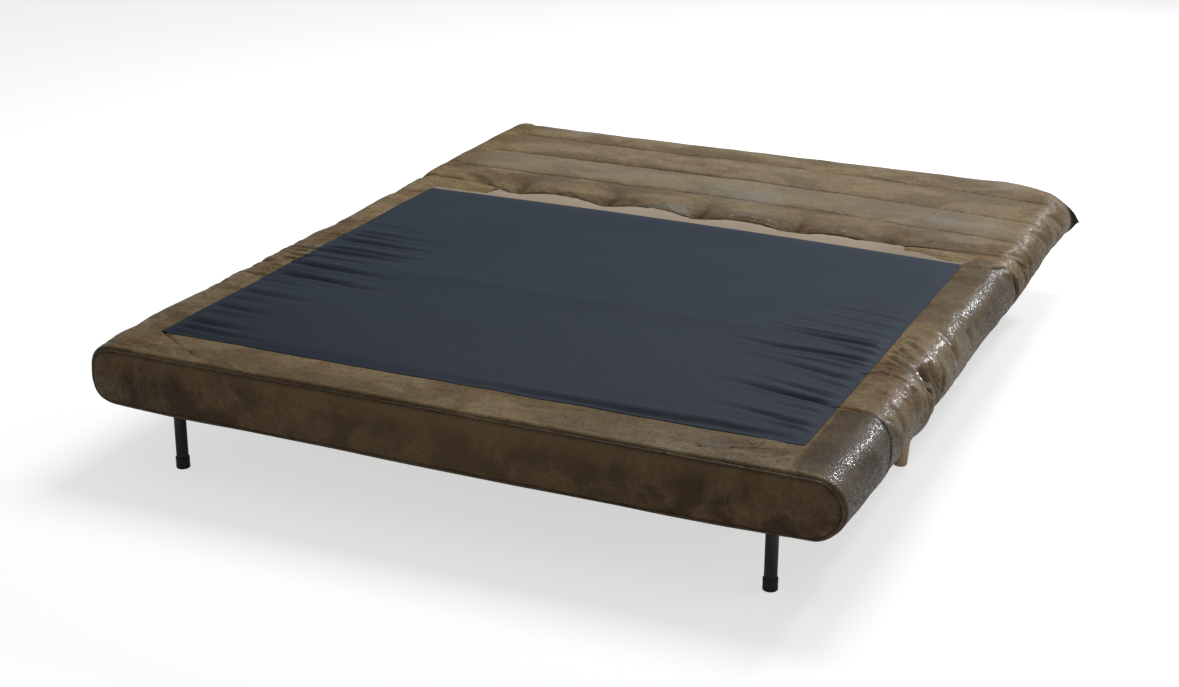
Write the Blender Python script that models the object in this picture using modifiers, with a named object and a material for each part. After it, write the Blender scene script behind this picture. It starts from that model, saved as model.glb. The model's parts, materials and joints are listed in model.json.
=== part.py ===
# Sofa bed, opened flat: a front section that folds over onto the seat, the seat
# on four wooden legs, and a channelled back that turns up behind it.
# Metres, +Z up. The origin lies on the floor under the middle of the bed.
# The front face looks towards -Y.

import math

import bmesh
import bpy
from mathutils import Matrix, Vector

# Overall sizes
bed_width = 1.600
pad_thickness = 0.126
under_clearance = 0.148
front_length = 0.655
seat_length = 0.655
back_length = 0.690

# Upholstery
cover_cloth = 0.0015
touch_gap = 0.0003
roll_flat = 0.002
roll_segments = 5
front_edge_radius = 0.012
section_edge_radius = 0.004
foam_edge_radius = 0.001
border_width = 0.115
lining_end_gap = 0.0015
facing_share = 0.9
turned_under = 0.110
dust_cloth = 0.0012
fold_gap = 0.006
seat_end_setback = 0.001
pale_strip_width = 0.046

# Back section form
back_roll_segments = 3
back_foam_gap = 0.0022
near_edge_radius = 0.012
tuft_line_setback = 0.0435
first_channel_width = 0.130
channel_width = 0.172
full_channels = 2
seam_depth = 0.008
crown_sharpness = 2.4
tuft_count = 5
tuft_pitch = 0.243
tuft_depth = 0.016
tuft_width = 0.045
tuft_length = 0.034
tuft_column_shares = (-0.8, 0.0, 0.8)
channel_row_shares = (0.12, 0.5, 0.88)
corner_fold_reach = 0.018
corner_fold_size = 0.016
corner_fold_height = 0.030

# Timber
rail_width = 0.025
front_rail_height = 0.081
seat_rail_height = 0.060
back_rail_height = 0.045
slat_thickness = 0.008
slat_width = 0.060
slats_per_section = 5
slat_end_margin = 0.045
slat_tape_width = 0.030
slat_tape_thickness = 0.002

# Wooden legs
wood_leg_top_radius = 0.024
wood_leg_foot_radius = 0.017
wood_leg_edge = 0.003
wood_leg_steps = 24
front_wood_leg_inset = 0.095
rear_wood_leg_inset = 0.200
front_wood_leg_setback = 0.052
rear_wood_leg_setback = 0.090
leg_plate_size = 0.060
leg_plate_thickness = 0.0025

# Folding metal legs
metal_leg_radius = 0.0125
metal_leg_wall = 0.0015
metal_leg_inset = 0.158
metal_leg_setback = 0.073
metal_leg_head = 0.010
leg_foot_radius = 0.0145
leg_foot_height = 0.025
leg_foot_base = 0.004
leg_fold_cover = 0.0025
leg_steps = 20
leg_pin_radius = 0.003
pin_clearance = 0.0003
slot_side_clearance = 0.0015
slot_end_clearance = 0.003
slot_roof_clearance = 0.001
slot_sheet = 0.002

# Fold hinges between front and seat
fold_axis_rise = 0.0005
fold_barrel_radius = 0.004
fold_pin_radius = 0.002
fold_leaf_thickness = 0.002
fold_leaf_width = 0.080
fold_leaf_height = 0.070
fold_leaf_play = 0.0007
hinge_inset = 0.350
knuckle_gap = 0.0005
middle_knuckle_share = 0.36
hinge_steps = 16
leaf_notch_gap = 0.0006

# Click hinges between seat and back
click_axis_drop = 0.012
click_barrel_radius = 0.008
click_barrel_gap = 0.0015
click_pin_radius = 0.004
click_leaf_thickness = 0.003
click_leaf_width = 0.100
click_leaf_height = 0.090
click_web_height = 0.005
click_leaf_tail = 0.070

# Places that follow from the sizes
half_width = bed_width / 2
pad_bottom = under_clearance
pad_top = under_clearance + pad_thickness
front_face = -(front_length + seat_length + back_length) / 2
fold_line = front_face + front_length
valley_line = fold_line + seat_length
far_end = valley_line + back_length
roll_radius = (pad_thickness - roll_flat) / 2
skin = cover_cloth + touch_gap
rail_side = half_width - skin - roll_radius
merge_gap = touch_gap / 10
inner_bottom = pad_bottom + skin
lining_half = half_width - border_width
click_axis_y = valley_line + click_axis_drop
click_axis_z = pad_top - click_axis_drop
fold_axis_z = pad_top + fold_axis_rise

front_pad = (Vector((-half_width, front_face, pad_bottom)),
             Vector((half_width, fold_line - fold_gap / 2, pad_top)))
seat_pad = (Vector((-half_width, fold_line + fold_gap / 2, pad_bottom)),
            Vector((half_width, valley_line - seat_end_setback, pad_top)))
back_pad = (Vector((-half_width, click_axis_y + click_barrel_radius + click_barrel_gap, pad_bottom)),
            Vector((half_width, far_end, pad_top)))

for old in list(bpy.data.objects):
    bpy.data.objects.remove(old)

scene_root = bpy.context.scene.collection
parts = bpy.data.collections.new("sofa_bed")
scene_root.children.link(parts)
cutters = bpy.data.collections.new("cutters")
scene_root.children.link(cutters)


def make_material(name, colour, roughness, metallic=0.0):
    material = bpy.data.materials.new(name)
    material.use_nodes = True
    shader = material.node_tree.nodes["Principled BSDF"]
    shader.inputs["Base Color"].default_value = (*colour, 1.0)
    shader.inputs["Roughness"].default_value = roughness
    shader.inputs["Metallic"].default_value = metallic
    return material


brown_cover = make_material("brown_cover", (0.19, 0.14, 0.09), 0.45)
dark_lining = make_material("dark_lining", (0.035, 0.045, 0.06), 0.85)
pale_cotton = make_material("pale_cotton", (0.42, 0.35, 0.25), 0.9)
dust_black = make_material("dust_black", (0.02, 0.02, 0.022), 0.9)
foam = make_material("foam", (0.78, 0.72, 0.55), 0.95)
pine = make_material("pine", (0.62, 0.45, 0.26), 0.6)
beech = make_material("beech", (0.70, 0.52, 0.32), 0.45)
black_steel = make_material("black_steel", (0.015, 0.015, 0.017), 0.4, 0.6)
zinc_steel = make_material("zinc_steel", (0.55, 0.55, 0.53), 0.35, 1.0)
black_rubber = make_material("black_rubber", (0.02, 0.02, 0.02), 0.8)


def finish(name, bm, material, collection=parts):
    """Turns a working mesh into a named object and frees the working mesh."""
    bmesh.ops.recalc_face_normals(bm, faces=bm.faces)
    mesh = bpy.data.meshes.new(name)
    bm.to_mesh(mesh)
    bm.free()
    obj = bpy.data.objects.new(name, mesh)
    if material:
        mesh.materials.append(material)
    collection.objects.link(obj)
    return obj


def add_block(bm, low, high):
    """Adds a box between two corners to a working mesh."""
    low = Vector(low)
    high = Vector(high)
    place = Matrix.Translation((low + high) / 2) @ Matrix.Diagonal((*(high - low), 1))
    return bmesh.ops.create_cube(bm, size=1, matrix=place)["verts"]


def block(name, low, high, material):
    bm = bmesh.new()
    add_block(bm, low, high)
    return finish(name, bm, material)


def add_rod(bm, start, end, radius, steps):
    """Adds a round bar between two points to a working mesh."""
    start = Vector(start)
    end = Vector(end)
    turn = (end - start).to_track_quat("Z", "Y").to_matrix().to_4x4()
    bmesh.ops.create_cone(
        bm, cap_ends=True, segments=steps, radius1=radius, radius2=radius,
        depth=(end - start).length,
        matrix=Matrix.Translation((start + end) / 2) @ turn)


def cutter(name, bm):
    """Keeps a working mesh as a hidden tool for a Boolean."""
    obj = finish(name, bm, None, cutters)
    obj.hide_render = True
    obj.display_type = "WIRE"
    return obj


def combine(obj, tool, operation):
    step = obj.modifiers.new(tool.name, "BOOLEAN")
    step.object = tool
    step.operation = operation
    step.solver = "EXACT"


def turned(name, profile, steps, place, material):
    """Turns a profile of (radius, height) points, listed from top to bottom."""
    mesh = bpy.data.meshes.new(name)
    points = [(radius, 0.0, height) for radius, height in profile]
    mesh.from_pydata(points, [(i, i + 1) for i in range(len(points) - 1)], [])
    mesh.materials.append(material)
    obj = bpy.data.objects.new(name, mesh)
    parts.objects.link(obj)
    obj.location = place
    screw = obj.modifiers.new("turn", "SCREW")
    screw.steps = steps
    screw.render_steps = steps
    screw.use_merge_vertices = True
    screw.merge_threshold = merge_gap
    screw.use_smooth_shade = False
    return obj


def bevel_edges(bm, edges, radius, segments):
    bmesh.ops.bevel(
        bm, geom=edges, offset=radius, offset_type="OFFSET", segments=segments,
        profile=0.5, affect="EDGES", clamp_overlap=True)


def lies_in_plane(edge, axis, value):
    return all(abs(vert.co[axis] - value) < merge_gap for vert in edge.verts)


def straight_pad(pad, inset):
    """A pad with half-round long sides and nearly square front and rear faces."""
    low, high = pad
    shrink = Vector((inset, inset, inset))
    bm = bmesh.new()
    add_block(bm, low + shrink, high - shrink)
    long_edges = [edge for edge in bm.edges
                  if abs(edge.verts[0].co.y - edge.verts[1].co.y) > pad_thickness]
    bevel_edges(bm, long_edges, roll_radius - inset, roll_segments)
    ends = ((low.y + inset, front_edge_radius if pad is front_pad else section_edge_radius),
            (high.y - inset, section_edge_radius))
    for end, radius in ends:
        loop = [edge for edge in bm.edges if lies_in_plane(edge, 1, end)]
        bevel_edges(bm, loop, max(radius - inset, foam_edge_radius), 2)
    return bm


def seam_lines():
    """Where the back's cross seams lie, measured along Y."""
    first = back_pad[0].y + tuft_line_setback
    lines = [first, first + first_channel_width]
    for _ in range(full_channels):
        lines.append(lines[-1] + channel_width)
    return lines


def tuft_places():
    return [(index - (tuft_count - 1) / 2) * tuft_pitch for index in range(tuft_count)]


def form_depth(x, y):
    """How far the back's cover is drawn in below its smooth outline."""
    lines = seam_lines()
    depth = 0.0
    for start, end in zip(lines, lines[1:]):
        if start <= y <= end:
            share = abs(2 * (y - start) / (end - start) - 1)
            depth = seam_depth * share ** crown_sharpness
    outside = max(lines[0] - y, y - lines[-1])
    if outside > 0:
        depth = seam_depth * max(0.0, 1 - 2 * outside / channel_width) ** 2
    for place in tuft_places():
        across = ((x - place) / tuft_width) ** 2
        along = ((y - lines[0]) / tuft_length) ** 2
        depth += tuft_depth * math.exp(-across - along)
    return depth


def cut_rows(bm, axis, values, wanted):
    """Adds edge loops at the given places to the faces that are wanted."""
    for value in values:
        point = Vector((0, 0, 0))
        normal = Vector((0, 0, 0))
        point[axis] = value
        normal[axis] = 1
        faces = [face for face in bm.faces if wanted(face)]
        edges = list({edge for face in faces for edge in face.edges})
        verts = list({vert for face in faces for vert in face.verts})
        bmesh.ops.bisect_plane(
            bm, geom=verts + edges + faces, dist=merge_gap,
            plane_co=point, plane_no=normal)


def keep_between(bm, axis, low, high):
    """Cuts a closed working mesh down to the stretch between two planes."""
    for value, outward in ((low, -1), (high, 1)):
        if value is None:
            continue
        point = Vector((0, 0, 0))
        normal = Vector((0, 0, 0))
        point[axis] = value
        normal[axis] = outward
        bmesh.ops.bisect_plane(
            bm, geom=bm.verts[:] + bm.edges[:] + bm.faces[:], dist=merge_gap,
            plane_co=point, plane_no=normal, clear_outer=True)
        rim = [edge for edge in bm.edges if edge.is_boundary]
        bmesh.ops.edgeloop_fill(bm, edges=rim)


def channelled_pad(inset, corner_folds):
    """The back pad: half-round on three sides, with cross channels and a row of tufts."""
    low, high = back_pad
    shrink = Vector((inset, inset, inset))
    spare = Vector((0, 2 * roll_radius, 0))
    bm = bmesh.new()
    add_block(bm, low + shrink - spare, high - shrink)
    bevel_edges(bm, bm.edges[:], roll_radius - inset, back_roll_segments)
    near_face = low.y + inset
    keep_between(bm, 1, near_face, None)
    near_loop = [edge for edge in bm.edges if lies_in_plane(edge, 1, near_face)]
    bevel_edges(bm, near_loop, near_edge_radius - inset, 2)
    middle = (pad_bottom + pad_top) / 2
    lines = seam_lines()
    rows = [*lines]
    for start, end in zip(lines, lines[1:]):
        rows += [start + (end - start) * share for share in channel_row_shares]
    cut_rows(bm, 1, rows, lambda face: face.calc_center_median().z > middle)
    columns = []
    for place in tuft_places():
        columns += [place + tuft_width * share for share in tuft_column_shares]
        columns.append(place + tuft_pitch / 2)
    columns.append(tuft_places()[0] - tuft_pitch / 2)
    cut_rows(bm, 0, columns,
             lambda face: face.calc_center_median().z > middle
             and face.calc_center_median().y < lines[1])
    bm.normal_update()
    moves = []
    for vert in bm.verts:
        share = max(0.0, vert.normal.z) ** 0.5
        outside = vert.co + vert.normal * inset
        moves.append(-vert.normal * form_depth(outside.x, outside.y) * share)
    if corner_folds:
        reach = roll_radius * (1 - math.sqrt(0.5))
        for side in (-1, 1):
            tip = Vector((side * (half_width - reach), far_end - reach,
                          pad_bottom + corner_fold_height))
            for index, vert in enumerate(bm.verts):
                near = math.exp(-((vert.co - tip).length / corner_fold_size) ** 2)
                moves[index] += Vector((side, 0, 0)) * corner_fold_reach * near
    for vert, move in zip(bm.verts, moves):
        vert.co += move
        vert.co.x = max(-half_width, min(half_width, vert.co.x))
    return bm


def foam_piece(name, bm, x=(None, None), y=(None, None), z=(None, None)):
    for axis, (low, high) in enumerate((x, y, z)):
        keep_between(bm, axis, low, high)
    return finish(name, bm, foam)


def open_cover(name, bm, openings):
    """Removes the faces in each opening and gives the rest the cloth's thickness.

    An opening is (side, x range, y range), with side 1 for the top and -1 below.
    """
    for side, x_range, y_range in openings:
        cut_rows(bm, 0, x_range, lambda face: face.normal.z * side > facing_share)
        cut_rows(bm, 1, y_range, lambda face: face.normal.z * side > facing_share)
    bm.normal_update()
    doomed = []
    for face in bm.faces:
        centre = face.calc_center_median()
        for side, x_range, y_range in openings:
            inside = x_range[0] < centre.x < x_range[1] and y_range[0] < centre.y < y_range[1]
            if inside and face.normal.z * side > facing_share:
                doomed.append(face)
                break
    bmesh.ops.delete(bm, geom=doomed, context="FACES")
    obj = finish(name, bm, brown_cover)
    wall = obj.modifiers.new("cloth", "SOLIDIFY")
    wall.thickness = cover_cloth
    wall.offset = -1
    wall.use_rim = True
    return obj


def thin_sheet(name, low_x, high_x, low_y, high_y, bottom, thickness, material):
    return block(name, (low_x, low_y, bottom), (high_x, high_y, bottom + thickness), material)


def dust_sheet(name, pad):
    """The black cloth that closes a section from below, inside its turned-under cover."""
    x_range, y_range = underside_opening(pad)
    return thin_sheet(name, x_range[0] + touch_gap, x_range[1] - touch_gap,
                      y_range[0] + touch_gap, y_range[1] - touch_gap,
                      pad_bottom, dust_cloth, dust_black)


def underside_opening(pad):
    low, high = pad
    return ((low.x + turned_under, high.x - turned_under),
            (low.y + turned_under / 2, high.y - turned_under / 2))


def long_rails(section, start, end, bottom, height, outer_face):
    """The two rails that run along the bed, one at each side."""
    for side, sign in (("left", -1), ("right", 1)):
        edges = sorted((sign * outer_face, sign * (outer_face - rail_width)))
        block(f"{section}_{side}_rail", (edges[0], start, bottom),
              (edges[1], end, bottom + height), pine)


def cross_rail(name, start, bottom, height):
    half = rail_side - rail_width - touch_gap
    return block(name, (-half, start, bottom), (half, start + rail_width, bottom + height), pine)


def slats(name, start, end, bottom):
    """Equal cross slats, spread evenly over the rails and held apart by two tapes."""
    bm = bmesh.new()
    first = start + slat_end_margin
    last = end - slat_end_margin
    step = (last - slat_width - first) / (slats_per_section - 1)
    for index in range(slats_per_section):
        near = first + index * step
        add_block(bm, (-rail_side, near, bottom), (rail_side, near + slat_width, bottom + slat_thickness))
    mat = finish(name, bm, pine)
    bm = bmesh.new()
    overrun = slat_width / 2
    low = bottom + (slat_thickness - slat_tape_thickness) / 2
    for sign in (-1, 1):
        middle = sign * rail_side / 2
        add_block(bm, (middle - slat_tape_width / 2, first + overrun, low),
                  (middle + slat_tape_width / 2, last - overrun, low + slat_tape_thickness))
    combine(mat, cutter(name + "_tapes", bm), "UNION")
    return mat


def side_rolls(section, pad):
    """The foam rolls along both sides of a straight pad."""
    foam_piece(f"{section}_left_roll", straight_pad(pad, skin), x=(None, -rail_side - touch_gap))
    foam_piece(f"{section}_right_roll", straight_pad(pad, skin), x=(rail_side + touch_gap, None))


# Leg slot, shared by the front section's frame, foam and cover
pivot_height = pad_bottom + leg_foot_radius + leg_fold_cover
pivot_x = half_width - metal_leg_inset
pivot_y = front_face + metal_leg_setback
leg_sweep = math.hypot(metal_leg_head, metal_leg_radius)
slot_half = leg_foot_radius + slot_side_clearance
slot_roof = pivot_height + leg_sweep + slot_roof_clearance
slot_inner_end = pivot_x - math.hypot(pivot_height, leg_foot_radius) - slot_end_clearance
slot_outer_end = rail_side - rail_width - touch_gap - slot_sheet
slot_front = pivot_y - slot_half - slot_sheet
slot_rear = pivot_y + slot_half + slot_sheet
beam_bottom = slot_roof + slot_sheet + touch_gap


def front_section():
    low, high = front_pad
    slat_bottom = inner_bottom + front_rail_height + touch_gap
    foam_bottom = slat_bottom + slat_thickness + touch_gap
    frame_start = slot_front - touch_gap
    inner_end = high.y - skin - section_edge_radius
    lining_end = high.y - section_edge_radius - lining_end_gap

    openings = [(1, (-lining_half, lining_half), (low.y + border_width, lining_end + lining_end_gap))]
    for sign in (-1, 1):
        span = sorted((sign * slot_inner_end, sign * slot_outer_end))
        openings.append((-1, span, (pivot_y - slot_half, pivot_y + slot_half)))
    open_cover("front_cover", straight_pad(front_pad, 0), openings)
    thin_sheet("front_lining", -lining_half + touch_gap, lining_half - touch_gap,
               low.y + border_width + touch_gap, lining_end, pad_top - cover_cloth, cover_cloth,
               dark_lining)

    side_rolls("front", front_pad)
    foam_piece("front_nose_foam", straight_pad(front_pad, skin),
               x=(-rail_side, rail_side), y=(None, frame_start - touch_gap))
    foam_piece("front_top_foam", straight_pad(front_pad, skin),
               x=(-rail_side, rail_side), y=(frame_start, None), z=(foam_bottom, None))
    rail_inside = rail_side - rail_width - touch_gap
    foam_piece("front_seat_foam", straight_pad(front_pad, skin),
               x=(-rail_inside, rail_inside), y=(slot_rear + touch_gap, inner_end - rail_width - touch_gap),
               z=(None, slat_bottom - 2 * touch_gap))

    long_rails("front", frame_start, inner_end, inner_bottom, front_rail_height, rail_side)
    cross_rail("front_rear_rail", inner_end - rail_width, inner_bottom, front_rail_height)
    beam_top = inner_bottom + front_rail_height
    block("front_leg_beam", (-rail_inside, frame_start, beam_bottom),
          (rail_inside, slot_rear, beam_top), pine)
    middle_half = slot_inner_end - slot_sheet - touch_gap
    block("front_middle_block", (-middle_half, frame_start, inner_bottom),
          (middle_half, slot_rear, beam_bottom - touch_gap), pine)
    slats("front_slats", frame_start, inner_end, slat_bottom)


def folding_leg(side, sign):
    """One black tube leg with its slot, pin and foot."""
    pivot = Vector((sign * pivot_x, pivot_y, pivot_height))
    span = sorted((sign * (slot_inner_end - slot_sheet), sign * (slot_outer_end + slot_sheet)))
    bm = bmesh.new()
    add_block(bm, (span[0], slot_front, inner_bottom), (span[1], slot_rear, slot_roof + slot_sheet))
    mouth = [face for face in bm.faces if face.normal.z < -facing_share]
    bmesh.ops.delete(bm, geom=mouth, context="FACES")
    slot = finish(f"{side}_leg_slot", bm, zinc_steel)
    sheet = slot.modifiers.new("sheet", "SOLIDIFY")
    sheet.thickness = slot_sheet
    sheet.offset = -1
    sheet.use_rim = True
    sheet.use_even_offset = True

    leg_bottom = leg_foot_base + touch_gap
    leg_top = pivot_height + metal_leg_head
    bore = metal_leg_radius - metal_leg_wall
    leg = turned(f"{side}_metal_leg",
                 [(0, leg_top), (metal_leg_radius, leg_top), (metal_leg_radius, leg_bottom),
                  (bore, leg_bottom), (bore, leg_top - metal_leg_wall), (0, leg_top - metal_leg_wall)],
                 leg_steps, (pivot.x, pivot.y, 0), black_steel)
    cap = metal_leg_radius + touch_gap
    turned(f"{side}_leg_foot",
           [(cap, leg_foot_height), (leg_foot_radius, leg_foot_height), (leg_foot_radius, 0),
            (0, 0), (0, leg_foot_base), (cap, leg_foot_base), (cap, leg_foot_height)],
           leg_steps, (pivot.x, pivot.y, 0), black_rubber)

    reach = Vector((0, slot_half + slot_sheet, 0))
    overrun = Vector((0, slot_sheet, 0))
    bm = bmesh.new()
    add_rod(bm, pivot - reach - overrun, pivot + reach + overrun, leg_pin_radius + pin_clearance, leg_steps)
    drill = cutter(f"{side}_leg_drill", bm)
    combine(slot, drill, "DIFFERENCE")
    combine(leg, drill, "DIFFERENCE")
    bm = bmesh.new()
    add_rod(bm, pivot - reach, pivot + reach, leg_pin_radius, leg_steps)
    finish(f"{side}_leg_pin", bm, zinc_steel)


def wooden_leg(corner, x, y):
    """A tapered leg under its steel plate."""
    half = leg_plate_size / 2
    plate_top = pad_bottom - touch_gap
    plate_bottom = plate_top - leg_plate_thickness
    block(f"{corner}_leg_plate", (x - half, y - half, plate_bottom),
          (x + half, y + half, plate_top), black_steel)
    top = plate_bottom - touch_gap
    turned(f"{corner}_wood_leg",
           [(0, top), (wood_leg_top_radius, top), (wood_leg_foot_radius, wood_leg_edge),
            (wood_leg_foot_radius - wood_leg_edge, 0), (0, 0)],
           wood_leg_steps, (x, y, 0), beech)


def seat_section():
    low, high = seat_pad
    slat_bottom = inner_bottom + seat_rail_height + touch_gap
    foam_bottom = slat_bottom + slat_thickness + touch_gap
    start = low.y + skin + section_edge_radius
    end = high.y - skin - section_edge_radius
    lining_start = low.y + section_edge_radius
    strip_end = high.y - section_edge_radius
    lining_end = strip_end - pale_strip_width

    under_x, under_y = underside_opening(seat_pad)
    open_cover("seat_cover", straight_pad(seat_pad, 0),
               [(1, (-lining_half, lining_half), (lining_start, strip_end)),
                (-1, under_x, under_y)])
    sheet_bottom = pad_top - cover_cloth
    thin_sheet("seat_lining", -lining_half + touch_gap, lining_half - touch_gap,
               lining_start + lining_end_gap, lining_end, sheet_bottom, cover_cloth, dark_lining)
    thin_sheet("pale_strip", -lining_half + touch_gap, lining_half - touch_gap,
               lining_end + touch_gap, strip_end - lining_end_gap, sheet_bottom, cover_cloth, pale_cotton)
    dust_sheet("seat_dust_cloth", seat_pad)

    side_rolls("seat", seat_pad)
    foam_piece("seat_foam", straight_pad(seat_pad, skin),
               x=(-rail_side, rail_side), z=(foam_bottom, None))
    long_rails("seat", start, end, inner_bottom, seat_rail_height, rail_side)
    cross_rail("seat_front_rail", start, inner_bottom, seat_rail_height)
    cross_rail("seat_rear_rail", end - rail_width, inner_bottom, seat_rail_height)
    slats("seat_slats", start, end, slat_bottom)

    # The same four places carry a leg and its plate.
    front_y = low.y + front_wood_leg_setback
    rear_y = high.y - rear_wood_leg_setback
    for side, sign in (("left", -1), ("right", 1)):
        wooden_leg(f"front_{side}", sign * (half_width - front_wood_leg_inset), front_y)
        wooden_leg(f"rear_{side}", sign * (half_width - rear_wood_leg_inset), rear_y)


def back_section():
    low, high = back_pad
    under_x, under_y = underside_opening(back_pad)
    open_cover("back_cover", channelled_pad(0, True), [(-1, under_x, under_y)])
    dust_sheet("back_dust_cloth", back_pad)

    foam_inset = cover_cloth + back_foam_gap
    slat_bottom = inner_bottom + back_rail_height + touch_gap
    foam_bottom = slat_bottom + slat_thickness + touch_gap
    frame_start = low.y + roll_radius
    frame_end = high.y - roll_radius
    edge_top = foam_bottom - touch_gap
    foam_piece("back_foam", channelled_pad(foam_inset, False), z=(foam_bottom, None))
    side = rail_side + touch_gap
    foam_piece("back_left_edge_foam", channelled_pad(foam_inset, False), x=(None, -side), z=(None, edge_top))
    foam_piece("back_right_edge_foam", channelled_pad(foam_inset, False), x=(side, None), z=(None, edge_top))
    foam_piece("back_near_edge_foam", channelled_pad(foam_inset, False),
               x=(-rail_side, rail_side), y=(None, frame_start - touch_gap), z=(None, edge_top))
    foam_piece("back_far_edge_foam", channelled_pad(foam_inset, False),
               x=(-rail_side, rail_side), y=(frame_end + touch_gap, None), z=(None, edge_top))
    long_rails("back", frame_start, frame_end, inner_bottom, back_rail_height, rail_side)
    cross_rail("back_near_rail", frame_start, inner_bottom, back_rail_height)
    cross_rail("back_far_rail", frame_end - rail_width, inner_bottom, back_rail_height)
    slats("back_slats", frame_start, frame_end, slat_bottom)


def leaf_outline(half_length, height, top, tab_top, tabs):
    """A hinge strip's front outline, with tabs that stand up to the barrels."""
    points = [(-half_length, top - height), (-half_length, top)]
    for start, end in tabs:
        if start > -half_length:
            points.append((start, top))
        else:
            points.pop()
        points += [(start, tab_top), (end, tab_top)]
        if end < half_length:
            points.append((end, top))
    if tabs[-1][1] < half_length:
        points.append((half_length, top))
    points.append((half_length, top - height))
    return points


def upright_plate(name, outline, y_middle, thickness, material):
    """A plate of the given outline that stands across the bed."""
    curve = bpy.data.curves.new(name, "CURVE")
    curve.dimensions = "2D"
    curve.fill_mode = "BOTH"
    curve.extrude = thickness / 2
    spline = curve.splines.new("POLY")
    spline.points.add(len(outline) - 1)
    spline.use_cyclic_u = True
    for point, (x, z) in zip(spline.points, outline):
        point.co = (x, z, 0, 1)
    drawn = bpy.data.objects.new(name + "_drawn", curve)
    cutters.objects.link(drawn)
    bpy.context.view_layer.update()
    mesh = bpy.data.meshes.new_from_object(drawn.evaluated_get(bpy.context.evaluated_depsgraph_get()))
    bm = bmesh.new()
    bm.from_mesh(mesh)
    bpy.data.objects.remove(drawn)
    bpy.data.meshes.remove(mesh)
    bmesh.ops.remove_doubles(bm, verts=bm.verts, dist=merge_gap)
    bmesh.ops.rotate(bm, verts=bm.verts, cent=(0, 0, 0), matrix=Matrix.Rotation(math.pi / 2, 3, "X"))
    bmesh.ops.translate(bm, verts=bm.verts, vec=(0, y_middle, 0))
    return finish(name, bm, material)


def barrels(name, spans, axis_y, axis_z, radius):
    bm = bmesh.new()
    for start, end in spans:
        add_rod(bm, (start, axis_y, axis_z), (end, axis_y, axis_z), radius, hinge_steps)
    return cutter(name, bm)


def knuckle_spans(width):
    """The stretches of barrel at both hinges: outer pairs for one strip, middles for the other."""
    centres = [sign * (half_width - hinge_inset) for sign in (-1, 1)]
    middle = width * middle_knuckle_share / 2
    outer = []
    for centre in centres:
        outer.append((centre - width / 2, centre - middle - knuckle_gap))
        outer.append((centre + middle + knuckle_gap, centre + width / 2))
    return outer, [(centre - middle, centre + middle) for centre in centres]


def hinge_pin(name, half_length, axis_y, axis_z, radius):
    """The long pin through both hinges, and the drill that clears it."""
    bm = bmesh.new()
    add_rod(bm, (-half_length, axis_y, axis_z), (half_length, axis_y, axis_z), radius, hinge_steps)
    finish(name, bm, zinc_steel)
    overrun = radius
    return barrels(name + "_drill", [(-half_length - overrun, half_length + overrun)],
                   axis_y, axis_z, radius + pin_clearance)


def fold_hinge():
    """A leaf hinge whose pin lies just above the pads, so the front folds flat over."""
    outer, middle = knuckle_spans(fold_leaf_width)
    half_length = outer[-1][1]
    top = fold_axis_z - fold_barrel_radius - leaf_notch_gap
    offset = fold_leaf_play + fold_leaf_thickness / 2
    drill = hinge_pin("fold_hinge_pin", half_length, fold_line, fold_axis_z, fold_pin_radius)
    for name, spans, sign in (("fold_hinge_front_leaf", outer, -1), ("fold_hinge_seat_leaf", middle, 1)):
        outline = leaf_outline(half_length, fold_leaf_height, top, fold_axis_z, spans)
        leaf = upright_plate(name, outline, fold_line + sign * offset, fold_leaf_thickness, zinc_steel)
        rods = barrels(name + "_barrels", spans, fold_line, fold_axis_z, fold_barrel_radius)
        combine(leaf, rods, "UNION")
        combine(leaf, drill, "DIFFERENCE")


def click_hinge():
    """The stepped hinge that holds the back: the seat leaf reaches its barrels by webs."""
    outer, middle = knuckle_spans(click_leaf_width)
    half_length = outer[-1][1]
    drill = hinge_pin("click_hinge_pin", half_length, click_axis_y, click_axis_z, click_pin_radius)

    seat_leaf_y = seat_pad[1].y + touch_gap + click_leaf_thickness / 2
    seat_top = click_axis_z + click_web_height / 2 + touch_gap
    bm = bmesh.new()
    add_block(bm, (-half_length, seat_leaf_y - click_leaf_thickness / 2, seat_top - click_leaf_height),
              (half_length, seat_leaf_y + click_leaf_thickness / 2, seat_top))
    seat_leaf = finish("click_hinge_seat_leaf", bm, zinc_steel)
    webs = bmesh.new()
    for start, end in outer:
        add_block(webs, (start + knuckle_gap, seat_leaf_y, click_axis_z - click_web_height / 2),
                  (end - knuckle_gap, click_axis_y, click_axis_z + click_web_height / 2))
    combine(seat_leaf, cutter("click_webs", webs), "UNION")
    rods = barrels("click_seat_barrels", outer, click_axis_y, click_axis_z, click_barrel_radius)
    combine(seat_leaf, rods, "UNION")
    combine(seat_leaf, drill, "DIFFERENCE")

    back_leaf_y = back_pad[0].y - touch_gap - click_leaf_thickness / 2
    top = click_axis_z - click_barrel_radius - leaf_notch_gap
    tab_top = click_axis_z + click_web_height / 2
    outline = leaf_outline(half_length, click_leaf_tail, top, tab_top, middle)
    back_leaf = upright_plate("click_hinge_back_leaf", outline, back_leaf_y,
                              click_leaf_thickness, zinc_steel)
    rods = barrels("click_back_barrels", middle, click_axis_y, click_axis_z, click_barrel_radius)
    combine(back_leaf, rods, "UNION")
    combine(back_leaf, drill, "DIFFERENCE")


front_section()
folding_leg("left", -1)
folding_leg("right", 1)
seat_section()
back_section()
fold_hinge()
click_hinge()
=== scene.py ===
import json
import math

import bmesh
import bpy
import numpy as np
from mathutils import Matrix, Vector


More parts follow.
